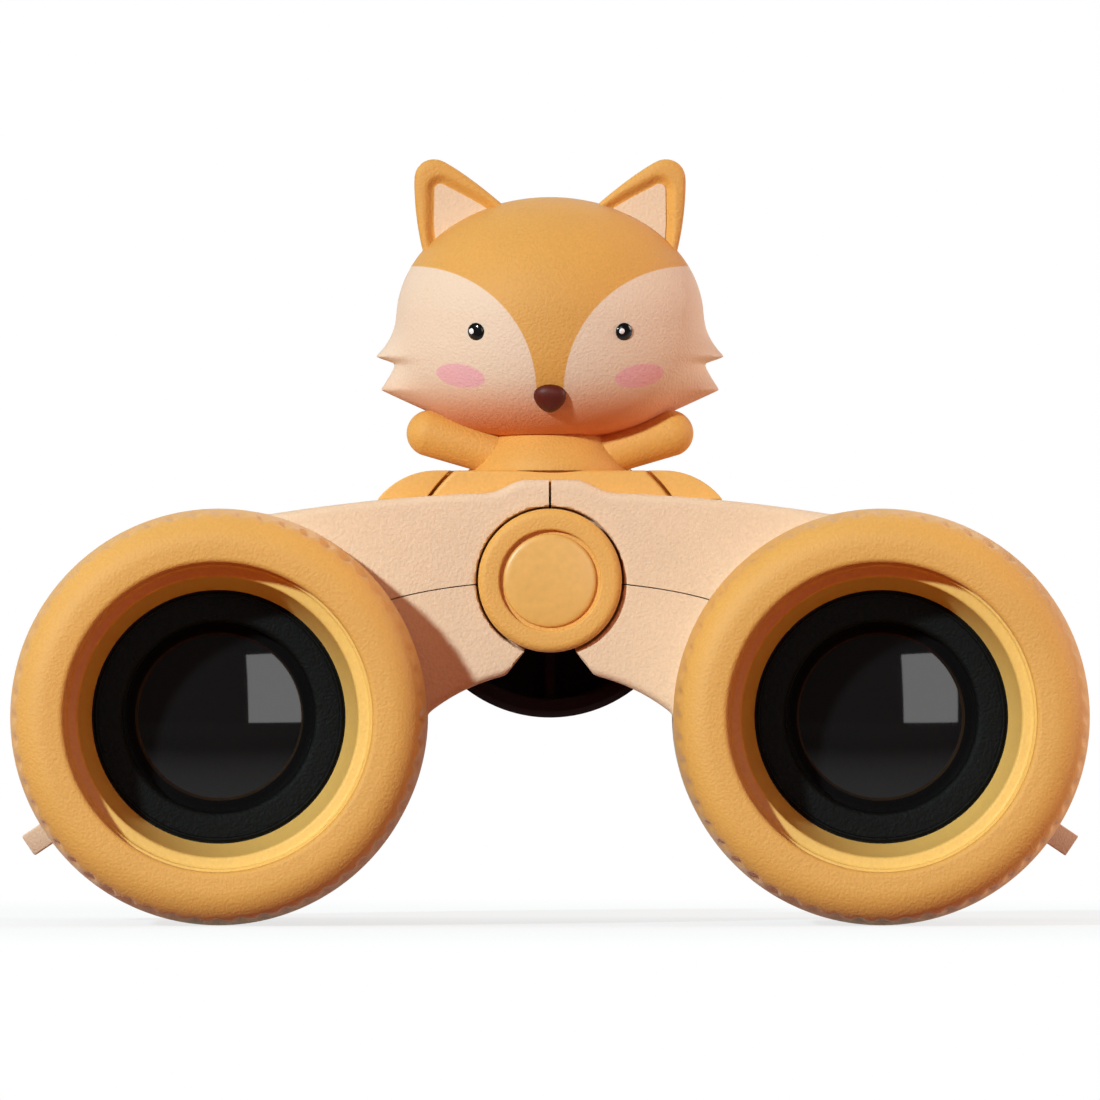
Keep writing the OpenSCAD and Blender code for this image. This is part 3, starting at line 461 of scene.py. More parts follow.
# Objectives
# Behind the mouth a satin orange hood steps in to a black retainer, which holds the glass lens.
# The lens sits in a black tube that keeps stray light away.

hood_back = 12.4 * mm
retainer_back = 15.2 * mm
insert_r = 16.9 * mm
hood_r = 16.05 * mm
step_r = 15.1 * mm
hood_back_r = 13.4 * mm
aperture_r = 10 * mm
lens_r = 10.45 * mm
lens_bulge = 1.4 * mm
lens_edge = 3.1 * mm
lens_slack = 0.1 * mm
hood_edge = 0.3 * mm
hood_lip = 0.35 * mm
hood_steps = (1.4 * mm, 2.1 * mm, 2.8 * mm, 3.2 * mm)
cone_edge = 0.4 * mm
retainer_round = 0.7 * mm
bead = 0.22 * mm
cone_lead = 0.1 * mm
step_draft = 0.05 * mm
haze_size = 6 * mm
glass_smooth = 0.02
glass_hazy = 0.06
lens_index = 1.4
orange_plastic = moulded_finish("orange_plastic", srgb(232, 174, 86), 0.48, 0.35 * mm, 0.03 * mm,
                                veil=0.1, gloss=0.45)
# The hood's orange is painted paler than the orange plastic, as painted light for the shaded inside of the
# mouth.
hood_plastic = moulded_finish("hood_plastic", srgb(246, 196, 108), 0.5, 0.35 * mm, 0.03 * mm, gloss=0.3)
black_plastic = moulded_finish("black_plastic", srgb(9, 9, 9), 0.55, 0.28 * mm, 0.12 * mm, mottle=0.5,
                               gloss=0.1)

hood_outline = (
    [(insert_r, ring_lip), (insert_r, hood_back), (hood_back_r, hood_back),
     (hood_back_r + cone_lead, hood_back - cone_edge), (step_r - hood_lip, ring_lip + hood_steps[3])]
    + arc((step_r - step_draft, ring_lip + hood_steps[2]), hood_edge, 180, 270, 4)
    + arc((step_r, ring_lip + hood_steps[1]), hood_edge, 180, 270, 4)
    + arc((hood_r - hood_lip, ring_lip + hood_steps[0]), hood_lip, 90, 0, 4)
    + [(hood_r, ring_lip)])
retainer_outline = (
    [(insert_r, hood_back), (insert_r, retainer_back), (aperture_r, retainer_back),
     (aperture_r, hood_back + retainer_round)]
    + arc((aperture_r + retainer_round, hood_back + retainer_round), retainer_round, 180, 270, 5)
    + arc((hood_back_r - 2 * bead, hood_back), bead, 180, 360, 6))
curve_r = aperture_r - lens_slack
ball_r = (curve_r ** 2 + lens_bulge ** 2) / (2 * lens_bulge)
lens_sweep = degrees(atan2(curve_r, ball_r - lens_bulge))
lens_outline = (
    arc((0, retainer_back - lens_bulge + ball_r), ball_r, -90, -90 + lens_sweep, 24)
    + [(lens_r, retainer_back), (lens_r, retainer_back + lens_edge), (0, retainer_back + lens_edge)])


def clear_glass(name, tint, clear):
    """Polished lens plastic with a very fine polishing haze."""
    material, tree = new_material(name)
    place = add_node(tree, "TexCoord", {}).outputs["Object"]
    haze = add_node(tree, "TexNoise", {"Vector": place, "Scale": 1 / haze_size}).outputs["Fac"]
    polish = ramp(tree, haze, low=glass_smooth, high=glass_hazy)
    wire(tree, tree.nodes["Principled BSDF"], {
        "Base Color": tint, "Roughness": polish, "Transmission Weight": clear, "IOR": lens_index})
    return material


lens_glass = clear_glass("lens_glass", srgb(24, 22, 23), 0.3)
dark_glass = clear_glass("dark_glass", srgb(20, 20, 23), 1)
for name, side in SIDES.items():
    place = (side * axis_x, axis_z)
    body = f"{name}_half"
    add_piece(f"objective_hood_{name}", turned(hood_outline, *place), hood_plastic, body, "orange_plastic",
              f"{name}_objective_hood", crease=25)
    add_piece(f"lens_retainer_{name}", turned(retainer_outline, *place), black_plastic, body, "black_plastic",
              f"{name}_lens_retainer")
    add_piece(f"objective_lens_{name}", turned(lens_outline, *place, loop=False), lens_glass, body,
              "clear_lens", f"{name}_objective_lens")
    frame["nodes"][f"{name}_objective_tube"].data.materials[0] = black_plastic

# Hinge
# One steel bolt runs the length of the body and carries both halves, with thin washers between them.
# An orange cap with a blank smooth disc hides its head, and a round nut closes it at the back.

cap_r = 7.6 * mm
cap_front = 12.7 * mm
cap_round = 0.85 * mm
groove_r = 5.35 * mm
groove_depth = 0.75 * mm
disc_r = 4.95 * mm
disc_dome = 0.25 * mm
disc_edge = 0.3 * mm
disc_lift = 0.12 * mm
groove_edge = 0.25 * mm
cap_lap = 0.1 * mm
groove_floor = cap_front + groove_depth
disc_ball = (disc_r ** 2 + disc_dome ** 2) / (2 * disc_dome)
disc_sweep = degrees(atan2(disc_r - disc_edge, disc_ball))
disc_front = cap_front + disc_lift
cap_outline = (
    [(0, skin_back - cap_lap), (cap_r, skin_back - cap_lap)]
    + arc((cap_r - cap_round, cap_front + cap_round), cap_round, 0, -90, 8)
    + arc((groove_r + groove_edge, cap_front + groove_edge), groove_edge, 270, 180, 5)
    + [(groove_r, groove_floor), (disc_r - 2 * cap_lap, groove_floor), (0, groove_floor)])
disc_outline = (
    arc((0, disc_front + disc_ball), disc_ball, -90, -90 + disc_sweep, 12)
    + arc((disc_r - disc_edge, disc_front + disc_dome + disc_edge), disc_edge, -60, 0, 4)
    + [(disc_r, groove_floor + cap_lap), (0, groove_floor + cap_lap)])
smooth_disc = moulded_finish("smooth_disc", srgb(233, 180, 96), 0.36, 0.9 * mm, 0.004 * mm)
steel = moulded_finish("steel", srgb(178, 180, 184), 0.3, 0.6 * mm, 0.006 * mm, mottle=0.08)
steel.node_tree.nodes["Principled BSDF"].inputs["Metallic"].default_value = 1
add_piece("hinge_cap_shell", turned(cap_outline, 0, hinge_z, loop=False), orange_rubber, "centre",
          "orange_plastic", "hinge_cap", crease=50)
add_piece("cap_disc", turned(disc_outline, 0, hinge_z, loop=False), smooth_disc, "centre", "badge_plastic",
          "cap_badge", crease=50)
for node in ("hinge_bolt", "hinge_end_nut", "hinge_washers", "nut_clip", "left_shell_screws",
             "right_shell_screws"):
    frame["nodes"][node].data.materials[0] = steel

# Focus drive
# A dark brown grip wheel turns a black screw on the bolt; its nut moves both focus arms fore and aft.
# The wheel shows under the arch, the arms behind the barrels.

brown_plastic = moulded_finish("brown_plastic", srgb(34, 9, 7), 0.5, 0.4 * mm, 0.04 * mm, mottle=0.3,
                               gloss=0.06)
grip_edge = 0.25 * mm
flat_turn = 0.5


def softened(node, width, segments=2, crease=35):
    """A copy of a CAD piece with its sharp edges broken."""
    bm = bmesh.new()
    bm.from_mesh(frame["nodes"][node].data)
    bmesh.ops.remove_doubles(bm, verts=bm.verts, dist=weld)
    bmesh.ops.dissolve_limit(bm, angle_limit=radians(flat_turn), verts=bm.verts, edges=bm.edges)
    sharp = [edge for edge in bm.edges
             if len(edge.link_faces) == 2 and edge.calc_face_angle() > radians(crease)]
    bmesh.ops.bevel(bm, geom=sharp, offset=width, affect="EDGES", segments=segments, profile=0.5, material=-1,
                    clamp_overlap=True)
    return bm


for node, material, body, slot in (
        ("focus_wheel", brown_plastic, "focus_wheel", "brown_plastic"),
        ("focus_nut", black_plastic, "left_eyepiece", "black_plastic"),
        ("left_focus_arm", black_plastic, "left_eyepiece", "black_plastic"),
        ("right_focus_arm", black_plastic, "right_eyepiece", "black_plastic")):
    add_piece(f"{node}_softened", softened(node, grip_edge), material, body, slot, node)

screw_r = 4.5 * mm
screw_front = 38.6 * mm
screw_back = 68 * mm
thread_depth = 0.4 * mm
thread_pitch = 1.47 * mm
thread_starts = 3
thread_rows = 180
screw_outline = (
    [(bolt_r, screw_front)]
    + [(screw_r, screw_front + i * (screw_back - screw_front) / thread_rows)
       for i in range(thread_rows + 1)]
    + [(bolt_r, screw_back)])
screw = turned(screw_outline, 0, hinge_z, 72)
for vert in screw.verts:
    out = Vector((vert.co.x, 0, vert.co.z - hinge_z))
    if out.length > bolt_r + thread_depth:
        phase = (vert.co.y - front_y) / thread_pitch - thread_starts * atan2(out.z, out.x) / tau
        vert.co -= out.normalized() * thread_depth * abs(2 * (phase % 1) - 1)
add_piece("focus_screw_thread", screw, black_plastic, "focus_wheel", "black_plastic", "focus_screw")

# Eyepieces
# A black tube slides in the back of each barrel and carries the ocular lens behind a retainer ring.
# A soft orange rubber eyecup is pushed over its end, with low folds round its outside.

tube_r = 13 * mm
tube_in_r = 11.5 * mm
tube_front = 44 * mm
tube_back = 72 * mm
ocular_front = 67.7 * mm
ocular_back = 70.4 * mm
ocular_clear_r = 7.5 * mm
ocular_hollow = 1.4 * mm
cup_front = 64.7 * mm
cup_back = 87.2 * mm
cup_r = 17.5 * mm
cup_wall = 1.8 * mm
fold_count = 4
fold_height = 0.35 * mm
fold_steps = 48
fold_run_out = 1 / 8
cup_flare = 1.15
slip = 0.05 * mm
tube_edge = 0.4 * mm
stop_wall = 1.6 * mm
ring_edge = 0.8 * mm
cup_edge = 0.6 * mm
ocular_r = tube_in_r - slip
tube_outline = [
    (tube_in_r, tube_front), (tube_r - tube_edge, tube_front), (tube_r, tube_front + tube_edge),
    (tube_r, tube_back), (tube_in_r, tube_back), (tube_in_r, ocular_front), (ocular_clear_r, ocular_front),
    (ocular_clear_r, ocular_front - stop_wall), (tube_in_r, ocular_front - stop_wall)]
ocular_ball = (ocular_clear_r ** 2 + ocular_hollow ** 2) / (2 * ocular_hollow)
ocular_sweep = degrees(atan2(ocular_clear_r, ocular_ball - ocular_hollow))
ocular_outline = (
    [(0, ocular_front), (ocular_r, ocular_front), (ocular_r, ocular_back)]
    + arc((0, ocular_back - ocular_hollow + ocular_ball), ocular_ball, -90 + ocular_sweep, -90, 16))
ocular_ring_outline = (
    [(ocular_r, ocular_back), (ocular_r, tube_back), (ocular_clear_r + 1.5 * ring_edge, tube_back)]
    + arc((ocular_clear_r + ring_edge, tube_back - ring_edge), ring_edge, 90, 180, 5)
    + [(ocular_clear_r, ocular_back)])
sleeve_r = tube_r + slip
waist_r = sleeve_r + cup_wall
cone_start = tube_back + 0.5 * mm


def cup_side(share):
    """A place on the eyecup's folded cone, from its waist to its rim."""
    fold = fold_height * max(0, sin(share * fold_count * tau)) * min(1, (1 - share) / fold_run_out)
    r = waist_r + (cup_r - waist_r) * share ** cup_flare
    return r + fold, cone_start + (cup_back - cup_wall / 2 - cone_start) * share


cup_outline = (
    [(sleeve_r, cup_front), (waist_r - tube_edge, cup_front), (waist_r, cup_front + tube_edge)]
    + [cup_side(i / fold_steps) for i in range(fold_steps)]
    + arc((cup_r - cup_wall / 2, cup_back - cup_wall / 2), cup_wall / 2, 0, 180, 10)
    + [(tube_in_r + cup_edge, tube_back + cup_wall), (tube_in_r, tube_back + cup_wall - cup_edge),
       (tube_in_r, tube_back + slip), (sleeve_r, tube_back + slip)])
for name, side in SIDES.items():
    place = (side * axis_x, axis_z)
    body = f"{name}_eyepiece"
    add_piece(f"eyepiece_tube_{name}", turned(tube_outline, *place), black_plastic, body, "black_plastic",
              f"{name}_eyepiece_tube")
    add_piece(f"ocular_lens_{name}", turned(ocular_outline, *place, loop=False), dark_glass, body,
              "clear_lens", f"{name}_ocular_lens")
    add_piece(f"ocular_ring_{name}", turned(ocular_ring_outline, *place), black_plastic, body,
              "black_plastic", f"{name}_ocular_retainer")
    add_piece(f"eyecup_{name}", turned(cup_outline, *place), orange_rubber, body, "orange_rubber",
              f"{name}_eyecup")

# Strap lugs
# A flat beige tab stands out low on each barrel, with a hole for a neck cord.
# Its tongue is trapped in a slot of the lower shell.

lug_edge = 0.45 * mm
for name in SIDES:
    add_piece(f"strap_lug_{name}", softened(f"{name}_strap_lug", lug_edge, 3), beige_plastic, f"{name}_half",
              "beige_plastic", f"{name}_strap_lug")

# Saddle
# An orange saddle on the bolt's bracket carries the figure and stays level when the halves fold.
# A pad on each half carries on its rounded shoulder, with a narrow channel between.

saddle_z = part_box("fox_base")[1].z
saddle_side = 15.4 * mm
saddle_gap = 0.3 * mm
saddle_low = deck_z + 0.22 * mm
tail_low = deck_z - 1.2 * mm
saddle_front = 17.3 * mm
saddle_back = 33.5 * mm
pad_back = 27.5 * mm
pad_round = 7.9 * mm
pad_centre = 12 * mm
bracket_half = 6.5 * mm
bracket_front = 28.3 * mm
bracket_back = 31.3 * mm
bracket_top = saddle_low + 0.5 * mm
saddle_round = 0.35 * mm
bracket_round = 0.4 * mm
tail_round = 0.6 * mm
pad_edge = 0.3 * mm


def height_turn(z, centre_z, r):
    """The angle at which a circle about a height reaches another height, on its right."""
    rise = z - centre_z
    return degrees(atan2(rise, sqrt(r ** 2 - rise ** 2)))


def shoulder(low):
    """The round right shoulder of a pad, from a low edge up to its top."""
    centre_z = saddle_z - pad_round
    return arc((pad_centre, centre_z), pad_round, height_turn(low, centre_z, pad_round), 90, 12)


def swing_side(r, low):
    """The right side of the saddle or of its channel, round about the hinge."""
    return arc((0, hinge_z), r, height_turn(low, hinge_z, r), height_turn(saddle_z, hinge_z, r), 10)


def mirrored(points):
    """Points and their mirror image on the left."""
    return points + [(-x, z) for x, z in reversed(points)]


saddle_outline = mirrored(swing_side(saddle_side, saddle_low))
tail_outline = mirrored(shoulder(tail_low))
bracket_outline = ([(-bracket_half, bracket_top)] + arc((0, hinge_z), bracket_half, 180, 360, 20)
                   + [(bracket_half, bracket_top)])
saddle = joined([
    prism(saddle_outline, saddle_front, saddle_back, saddle_round, range(len(saddle_outline) - 1), both=True),
    prism(bracket_outline, bracket_front, bracket_back, bracket_round, both=True, segments=2),
    prism(tail_outline, bracket_front, saddle_back, tail_round, range(len(tail_outline) - 1), both=True)])
add_piece("saddle", saddle, orange_plastic, "centre", "orange_plastic", "fox_base")

pad_low = deck_z + 0.02 * mm
pad_outline = shoulder(pad_low) + swing_side(saddle_side + saddle_gap, pad_low)[::-1]
for name, side in SIDES.items():
    pad = prism([(side * x, z) for x, z in pad_outline], saddle_front, pad_back, pad_edge,
                range(len(pad_outline) - 1), both=True, segments=4)
    add_piece(f"saddle_pad_{name}", pad, orange_plastic, f"{name}_half", "orange_plastic",
              f"{name}_saddle_pad")

# Fox figure
# A hollow vinyl animal sits on the saddle, its head glued on a short torso between two stub arms.
# Orange vinyl is masked and sprayed with a cream face and pink cheeks; eyes and nose are set in.

head_low, head_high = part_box("fox_head")
head_half = Vector((16.3 * mm, 13.8 * mm, 12.9 * mm))
head_y = (head_low.y + head_high.y) / 2
head_z = head_high.z - head_half.z
cheek_power = 2.7
tuft_upper_tip = -4.05 * mm
tuft_lower_tip = -7.55 * mm
tuft_upper_reach = 2.5 * mm
tuft_lower_reach = 3.2 * mm
tuft_notch = -4.75 * mm
tuft_start = 0.9 * mm
tuft_end = -10.1 * mm
tuft_thin = 24
pole_r = 1e-6
tuft_low = 0.55 * mm
tuft_upper_curve = 2.4
tuft_lower_curve = 1.3
tuft_under_curve = 1.2


def tuft_rise(z):
    """How far the two cheek tufts stand out at a height above the middle of the head."""
    if z > tuft_start or z < tuft_end:
        return 0
    if z > tuft_upper_tip:
        return tuft_upper_reach * ((tuft_start - z) / (tuft_start - tuft_upper_tip)) ** tuft_upper_curve
    if z > tuft_notch:
        return tuft_low + (tuft_upper_reach - tuft_low) * (z - tuft_notch) / (tuft_upper_tip - tuft_notch)
    if z > tuft_lower_tip:
        rise = ((tuft_notch - z) / (tuft_notch - tuft_lower_tip)) ** tuft_lower_curve
        return tuft_low + (tuft_lower_reach - tuft_low) * rise
    return tuft_lower_reach * ((z - tuft_end) / (tuft_lower_tip - tuft_end)) ** tuft_under_curve


def head_place(way):
    """A place on the head's skin in a direction from its middle: an egg with full cheeks."""
    flat = sqrt(way.x ** 2 + way.y ** 2)
    wide, tall = flat, way.z
    if way.z < 0:
        wide = flat ** (2 / cheek_power)
        tall = -(-way.z) ** (2 / cheek_power)
    share = wide / flat if flat > pole_r else 0
    place = Vector((head_half.x * way.x * share, head_half.y * way.y * share, head_half.z * tall))
    if flat > pole_r:
        lean = (abs(way.x) / flat) ** tuft_thin
        place.x += (1 if place.x > 0 else -1) * tuft_rise(place.z) * lean
    return place + Vector((0, head_y, head_z))


fox_orange = srgb(226, 166, 80)
fox_cream = srgb(240, 214, 188)
blush_pink = srgb(238, 180, 184)
# The orange that the face turns to near the chin is painted shade: the warm shadow and bounce light under the
# head.
chin_shade_orange = srgb(230, 120, 44)
cream_spread = (0.85, 1.1)
mask_centre = (14.8 * mm, 0, head_z - 7.8 * mm)
mask_r = 13.35 * mm
mask_edge = 0.06 * mm
chin_z = head_z - 8.75 * mm
cheek_centre = (0, head_y - 5 * mm, head_z - 3 * mm)
cheek_r = 12 * mm
cheek_edge = 0.08 * mm
# Painted shade: from here down to the chin the cream fades towards orange.
chin_shade_start = head_z - 5.5 * mm
chin_shade_end = head_z - 12.5 * mm
chin_shade_most = 0.85
blush_centre = (9.45 * mm, 0, head_z - 6.1 * mm)
blush_half = (2.6 * mm, 1, 1.2 * mm)
blush_tilt = -11
blush_edge = 0.04


def fox_paint(name):
    """Vinyl sprayed through masks: orange crown and back, cream face and pink cheeks, with painted orange
    shade towards the chin.
    """
    material = moulded_finish(name, fox_orange, 0.6, 0.3 * mm, 0.09 * mm, veil=0.1, gloss=0.4)
    tree = material.node_tree
    shader = tree.nodes["Principled BSDF"]
    vinyl = shader.inputs["Base Color"].links[0].from_socket
    speckle = vinyl.node.inputs["Factor"].links[0].from_socket
    place = next(node for node in tree.nodes if node.type == "TEX_COORD").outputs["Object"]
    x, y, z = add_node(tree, "SeparateXYZ", {"Vector": place}).outputs
    front = add_node(tree, "CombineXYZ", {"X": maths(tree, "ABSOLUTE", x), "Z": z}).outputs[0]
    profile = add_node(tree, "CombineXYZ", {"Y": y, "Z": z}).outputs[0]

    def inside(value, edge, soft):
        """1 below an edge and 0 above it."""
        return ramp(tree, value, edge - soft, edge + soft, 1, 0)

    def apart(point, centre):
        """How far a point lies from a centre."""
        return add_node(tree, "VectorMath", {0: point, 1: centre}, operation="DISTANCE").outputs["Value"]

    face = inside(apart(front, mask_centre), mask_r, mask_edge)
    chin = inside(z, chin_z, mask_edge)
    fore = inside(apart(profile, cheek_centre), cheek_r, cheek_edge)
    pale = maths(tree, "MULTIPLY", maths(tree, "MAXIMUM", face, chin), fore)
    # Painted shade: the cream fades to orange downwards towards the chin, standing in for shadow and bounce
    # light under the head.
    chin_shade = ramp(tree, z, chin_shade_start, chin_shade_end, high=chin_shade_most, kind="SMOOTHSTEP")
    spot = add_node(tree, "Mapping", {
        "Vector": front, "Location": blush_centre, "Scale": blush_half,
        "Rotation": (0, radians(blush_tilt), 0)}, vector_type="TEXTURE").outputs[0]
    off_blush = add_node(tree, "VectorMath", {0: spot}, operation="LENGTH").outputs["Value"]
    blush = maths(tree, "MULTIPLY", inside(off_blush, 1, blush_edge), fore)
    cream = mixed(tree, speckle, *[shade(fox_cream, share) for share in cream_spread])
    coats = mixed(tree, pale, vinyl, mixed(tree, chin_shade, cream, chin_shade_orange))
    wire(tree, shader, {"Base Color": mixed(tree, blush, coats, blush_pink)})
    return material


fox_vinyl = moulded_finish("fox_vinyl", fox_orange, 0.6, 0.3 * mm, 0.09 * mm, veil=0.1, gloss=0.4)
cream_vinyl = moulded_finish("cream_vinyl", srgb(238, 206, 174), 0.62, 0.3 * mm, 0.08 * mm, veil=0.1,
                             gloss=0.4)
painted_vinyl = fox_paint("painted_vinyl")
head = bmesh.new()
bmesh.ops.create_uvsphere(head, u_segments=256, v_segments=180, radius=1)
for vert in head.verts:
    vert.co = head_place(vert.co.normalized())
smoothed(head, head.verts, 1)
add_piece("fox_head_vinyl", closed_skin(head), painted_vinyl, "centre", "fox_vinyl", "fox_head", crease=60)

torso_low, torso_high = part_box("fox_torso")
torso_r = (torso_high.x - torso_low.x) / 2
torso_depth = (torso_low.y + torso_high.y) / 2
torso = bmesh.new()
torso_h = 5.2 * mm
torso_profile = [
    (0, 0), (torso_r, 0), (torso_r + 0.05 * mm, 0.3 * mm), (torso_r - 0.45 * mm, 1.4 * mm),
    (torso_r - 1.2 * mm, 2.6 * mm), (torso_r - 2.2 * mm, 4 * mm), (torso_r - 2.9 * mm, torso_h), (0, torso_h)]
verts = [torso.verts.new((r, torso_depth, saddle_z + z)) for r, z in torso_profile]
edges = [torso.edges.new(pair) for pair in zip(verts, verts[1:])]
bmesh.ops.spin(torso, geom=verts + edges, cent=(0, torso_depth, 0), axis=(0, 0, 1), angle=tau, steps=96,
               use_merge=True)
add_piece("fox_torso_vinyl", closed_skin(torso), fox_vinyl, "centre", "fox_vinyl", "fox_torso", crease=60)

hand = Vector((12.75 * mm, head_y - 2.4 * mm, saddle_z + 3.95 * mm))
arm_root = Vector((5.2 * mm, head_y - 2.4 * mm, saddle_z + 1.6 * mm))
hand_r = 2.45 * mm
root_r = 2.3 * mm
for name, side in SIDES.items():
    arm = bmesh.new()
    bmesh.ops.create_uvsphere(arm, u_segments=64, v_segments=48, radius=1)
    run = hand - arm_root
    for vert in arm.verts:
        far = vert.co.z > 0
        vert.co = vert.co * (hand_r if far else root_r)
        vert.co.z += run.length if far else 0
    turn = run.to_track_quat("Z", "Y").to_matrix().to_4x4()
    bmesh.ops.transform(arm, verts=arm.verts, matrix=Matrix.Translation(arm_root) @ turn)
    for vert in arm.verts:
        vert.co.x *= side
    add_piece(f"fox_arm_{name}", closed_skin(arm), fox_vinyl, "centre", "fox_vinyl", f"fox_{name}_arm",
              crease=60)

ear_t = 4.2 * mm
ear_grain = 0.22 * mm
ear_front = (head_y - front_y) - ear_t / 2
ear_sink = 0.75 * mm
valley_w = 1.1 * mm
lining_lift = 0.15 * mm
lining_back = 0.6 * mm
ear_passes = 16
ear_front_tilt = -0.2
tip_turn = 60
outer_pulls = ((-1, 2.8), (0, -4))
inner_pulls = ((2.8, -1.5), (-0.9, 1.9))


def swept(first, pull_first, pull_last, last, steps=10):
    """Points of a smooth curve between two spots of the front view, in mm, drawn by a pull at each end."""
    ends = [Vector(point) * mm for point in (first, pull_first, pull_last, last)]
    curve = interpolate_bezier(ends[0], ends[0] + ends[1], ends[3] + ends[2], ends[3], steps)
    return [(point.x, head_z + point.y) for point in curve]


def ear_shape(foot_out, tip, tip_r, foot_in):
    """Front view of the left ear or of its lining: two long sides that meet in a round tip."""
    outer = (tip[0] - tip_r, tip[1])
    inner = (tip[0] + tip_r * cos(radians(tip_turn)), tip[1] + tip_r * sin(radians(tip_turn)))
    round_tip = arc((tip[0] * mm, head_z + tip[1] * mm), tip_r * mm, 180, tip_turn, 10)
    return (swept(foot_out, *outer_pulls, outer) + round_tip[1:]
            + swept(inner, *inner_pulls, foot_in)[1:])


def off_outline(x, z, outline):
    """How far a spot lies outside a front-view outline that bulges everywhere, or 0 inside it."""
    spot = Vector((x, z))
    ends = zip(outline, outline[1:] + outline[:1])
    apart = [(Vector(a), (Vector(b) - Vector(a))) for a, b in ends]
    if all(run.x * (spot - start).y - run.y * (spot - start).x <= 0 for start, run in apart):
        return 0
    near = [(start + run * min(max((spot - start).dot(run) / run.length_squared, 0), 1) - spot).length
            for start, run in apart]
    return min(near)


ear_outline = ear_shape((-12.7, 4.5), (-12.3, 14.85), 2.1, (-1.8, 8.6))
lining_outline = ear_shape((-11.5, 6), (-11.6, 13.65), 0.65, (-4.4, 9.4))
linings = []
for name, side in SIDES.items():
    ear = prism(ear_outline, ear_front, ear_front + ear_t)
    ear = worked(ear, "REMESH", mode="VOXEL", voxel_size=ear_grain)
    smoothed(ear, ear.verts, ear_passes)
    for vert in ear.verts:
        if vert.normal.y < ear_front_tilt:
            t = min(off_outline(vert.co.x, vert.co.z, lining_outline) / valley_w, 1)
            vert.co.y += ear_sink * (1 - t * t * (3 - 2 * t))
    valley = ear_front + ear_sink
    lining = prism(lining_outline, valley - lining_lift, valley + lining_back)
    for part in (ear, lining):
        bmesh.ops.scale(part, verts=part.verts, vec=(-side, 1, 1))
        closed_skin(part)
    linings.append(lining)
    add_piece(f"fox_ear_{name}", ear, fox_vinyl, "centre", "fox_vinyl", f"fox_{name}_ear", crease=60)
add_piece("ear_linings", joined(linings), cream_vinyl, "centre", "cream_vinyl", "fox_ear_linings")


def face_normal(x, z):
    """The place on the front of the face at a front-view spot, and the way that the skin faces there."""
    tall = abs(z) / head_half.z
    wide = 1 - tall ** (cheek_power if z < 0 else 2)
    wide = wide ** (2 / cheek_power if z < 0 else 1)
    spot = Vector((x, head_y - head_half.y * sqrt(wide - (x / head_half.x) ** 2), head_z + z))
    way = Vector((x / head_half.x ** 2, (spot.y - head_y) / head_half.y ** 2, z / head_half.z ** 2))
    return spot, way.normalized()


def face_axes(way):
    """The level and the upright direction along the skin where it faces a way."""
    side = way.cross(Vector((0, 0, 1))).normalized()
    return side, side.cross(way)


def face_button(spot, way, half, height, taper=0.0):
    """A low rounded button set on the face, wider at its top where it has a taper."""
    bm = bmesh.new()
    bmesh.ops.create_uvsphere(bm, u_segments=48, v_segments=32, radius=1)
    side, up = face_axes(way)
    for vert in bm.verts:
        x, y, z = vert.co
        vert.co = spot + side * half[0] * x * (1 + taper * y) + up * half[1] * y + way * height * z
    return closed_skin(bm)


eye_black = moulded_finish("eye_black", srgb(12, 11, 11), 0.15, 0.5 * mm, 0.002 * mm, mottle=0.3)
eye_glint = moulded_finish("eye_glint", srgb(255, 255, 255), 0.3, 0.5 * mm, 0.002 * mm, mottle=0.02)
brown_nose = moulded_finish("brown_nose", srgb(92, 26, 12), 0.5, 0.3 * mm, 0.05 * mm, mottle=0.15,
                            gloss=0.3)
eye_x = 7.82 * mm
eye_drop = -1.45 * mm
eye_r = 0.95 * mm
eye_h = 0.35 * mm
glint_r = 0.31 * mm
glint_h = 0.12 * mm
glint_off = (0.36 * mm, 0.08 * mm, 0.28 * mm)
nose_drop = -8.5 * mm
nose_half = (1.68 * mm, 1.72 * mm)
nose_h = 1.1 * mm
nose_taper = 0.27
buttons = []
for side in SIDES.values():
    spot, way = face_normal(side * eye_x, eye_drop)
    buttons.append(face_button(spot, way, (eye_r, eye_r), eye_h))
    level, upright = face_axes(way)
    glint_spot = spot + level * glint_off[0] + upright * glint_off[1] + way * glint_off[2]
    glint = face_button(glint_spot, way, (glint_r, glint_r), glint_h)
    for face in glint.faces:
        face.material_index = 1
    buttons.append(glint)
eyes = add_piece("fox_eye_buttons", joined(buttons), eye_black, "centre", "eye_black", "fox_eyes")
eyes.data.materials.append(eye_glint)
nose = face_button(*face_normal(0, nose_drop), nose_half, nose_h, nose_taper)
add_piece("fox_nose_button", nose, brown_nose, "centre", "brown_plastic", "fox_nose")

# Stage
# A pale floor fades into a white backdrop; a key lamp stands high on the left and a fill on the right.
# A tall panel shows only in reflections, and the sky is white behind, pale above and warm in front.
# The camera looks straight at the front from far away, so the view is nearly flat.

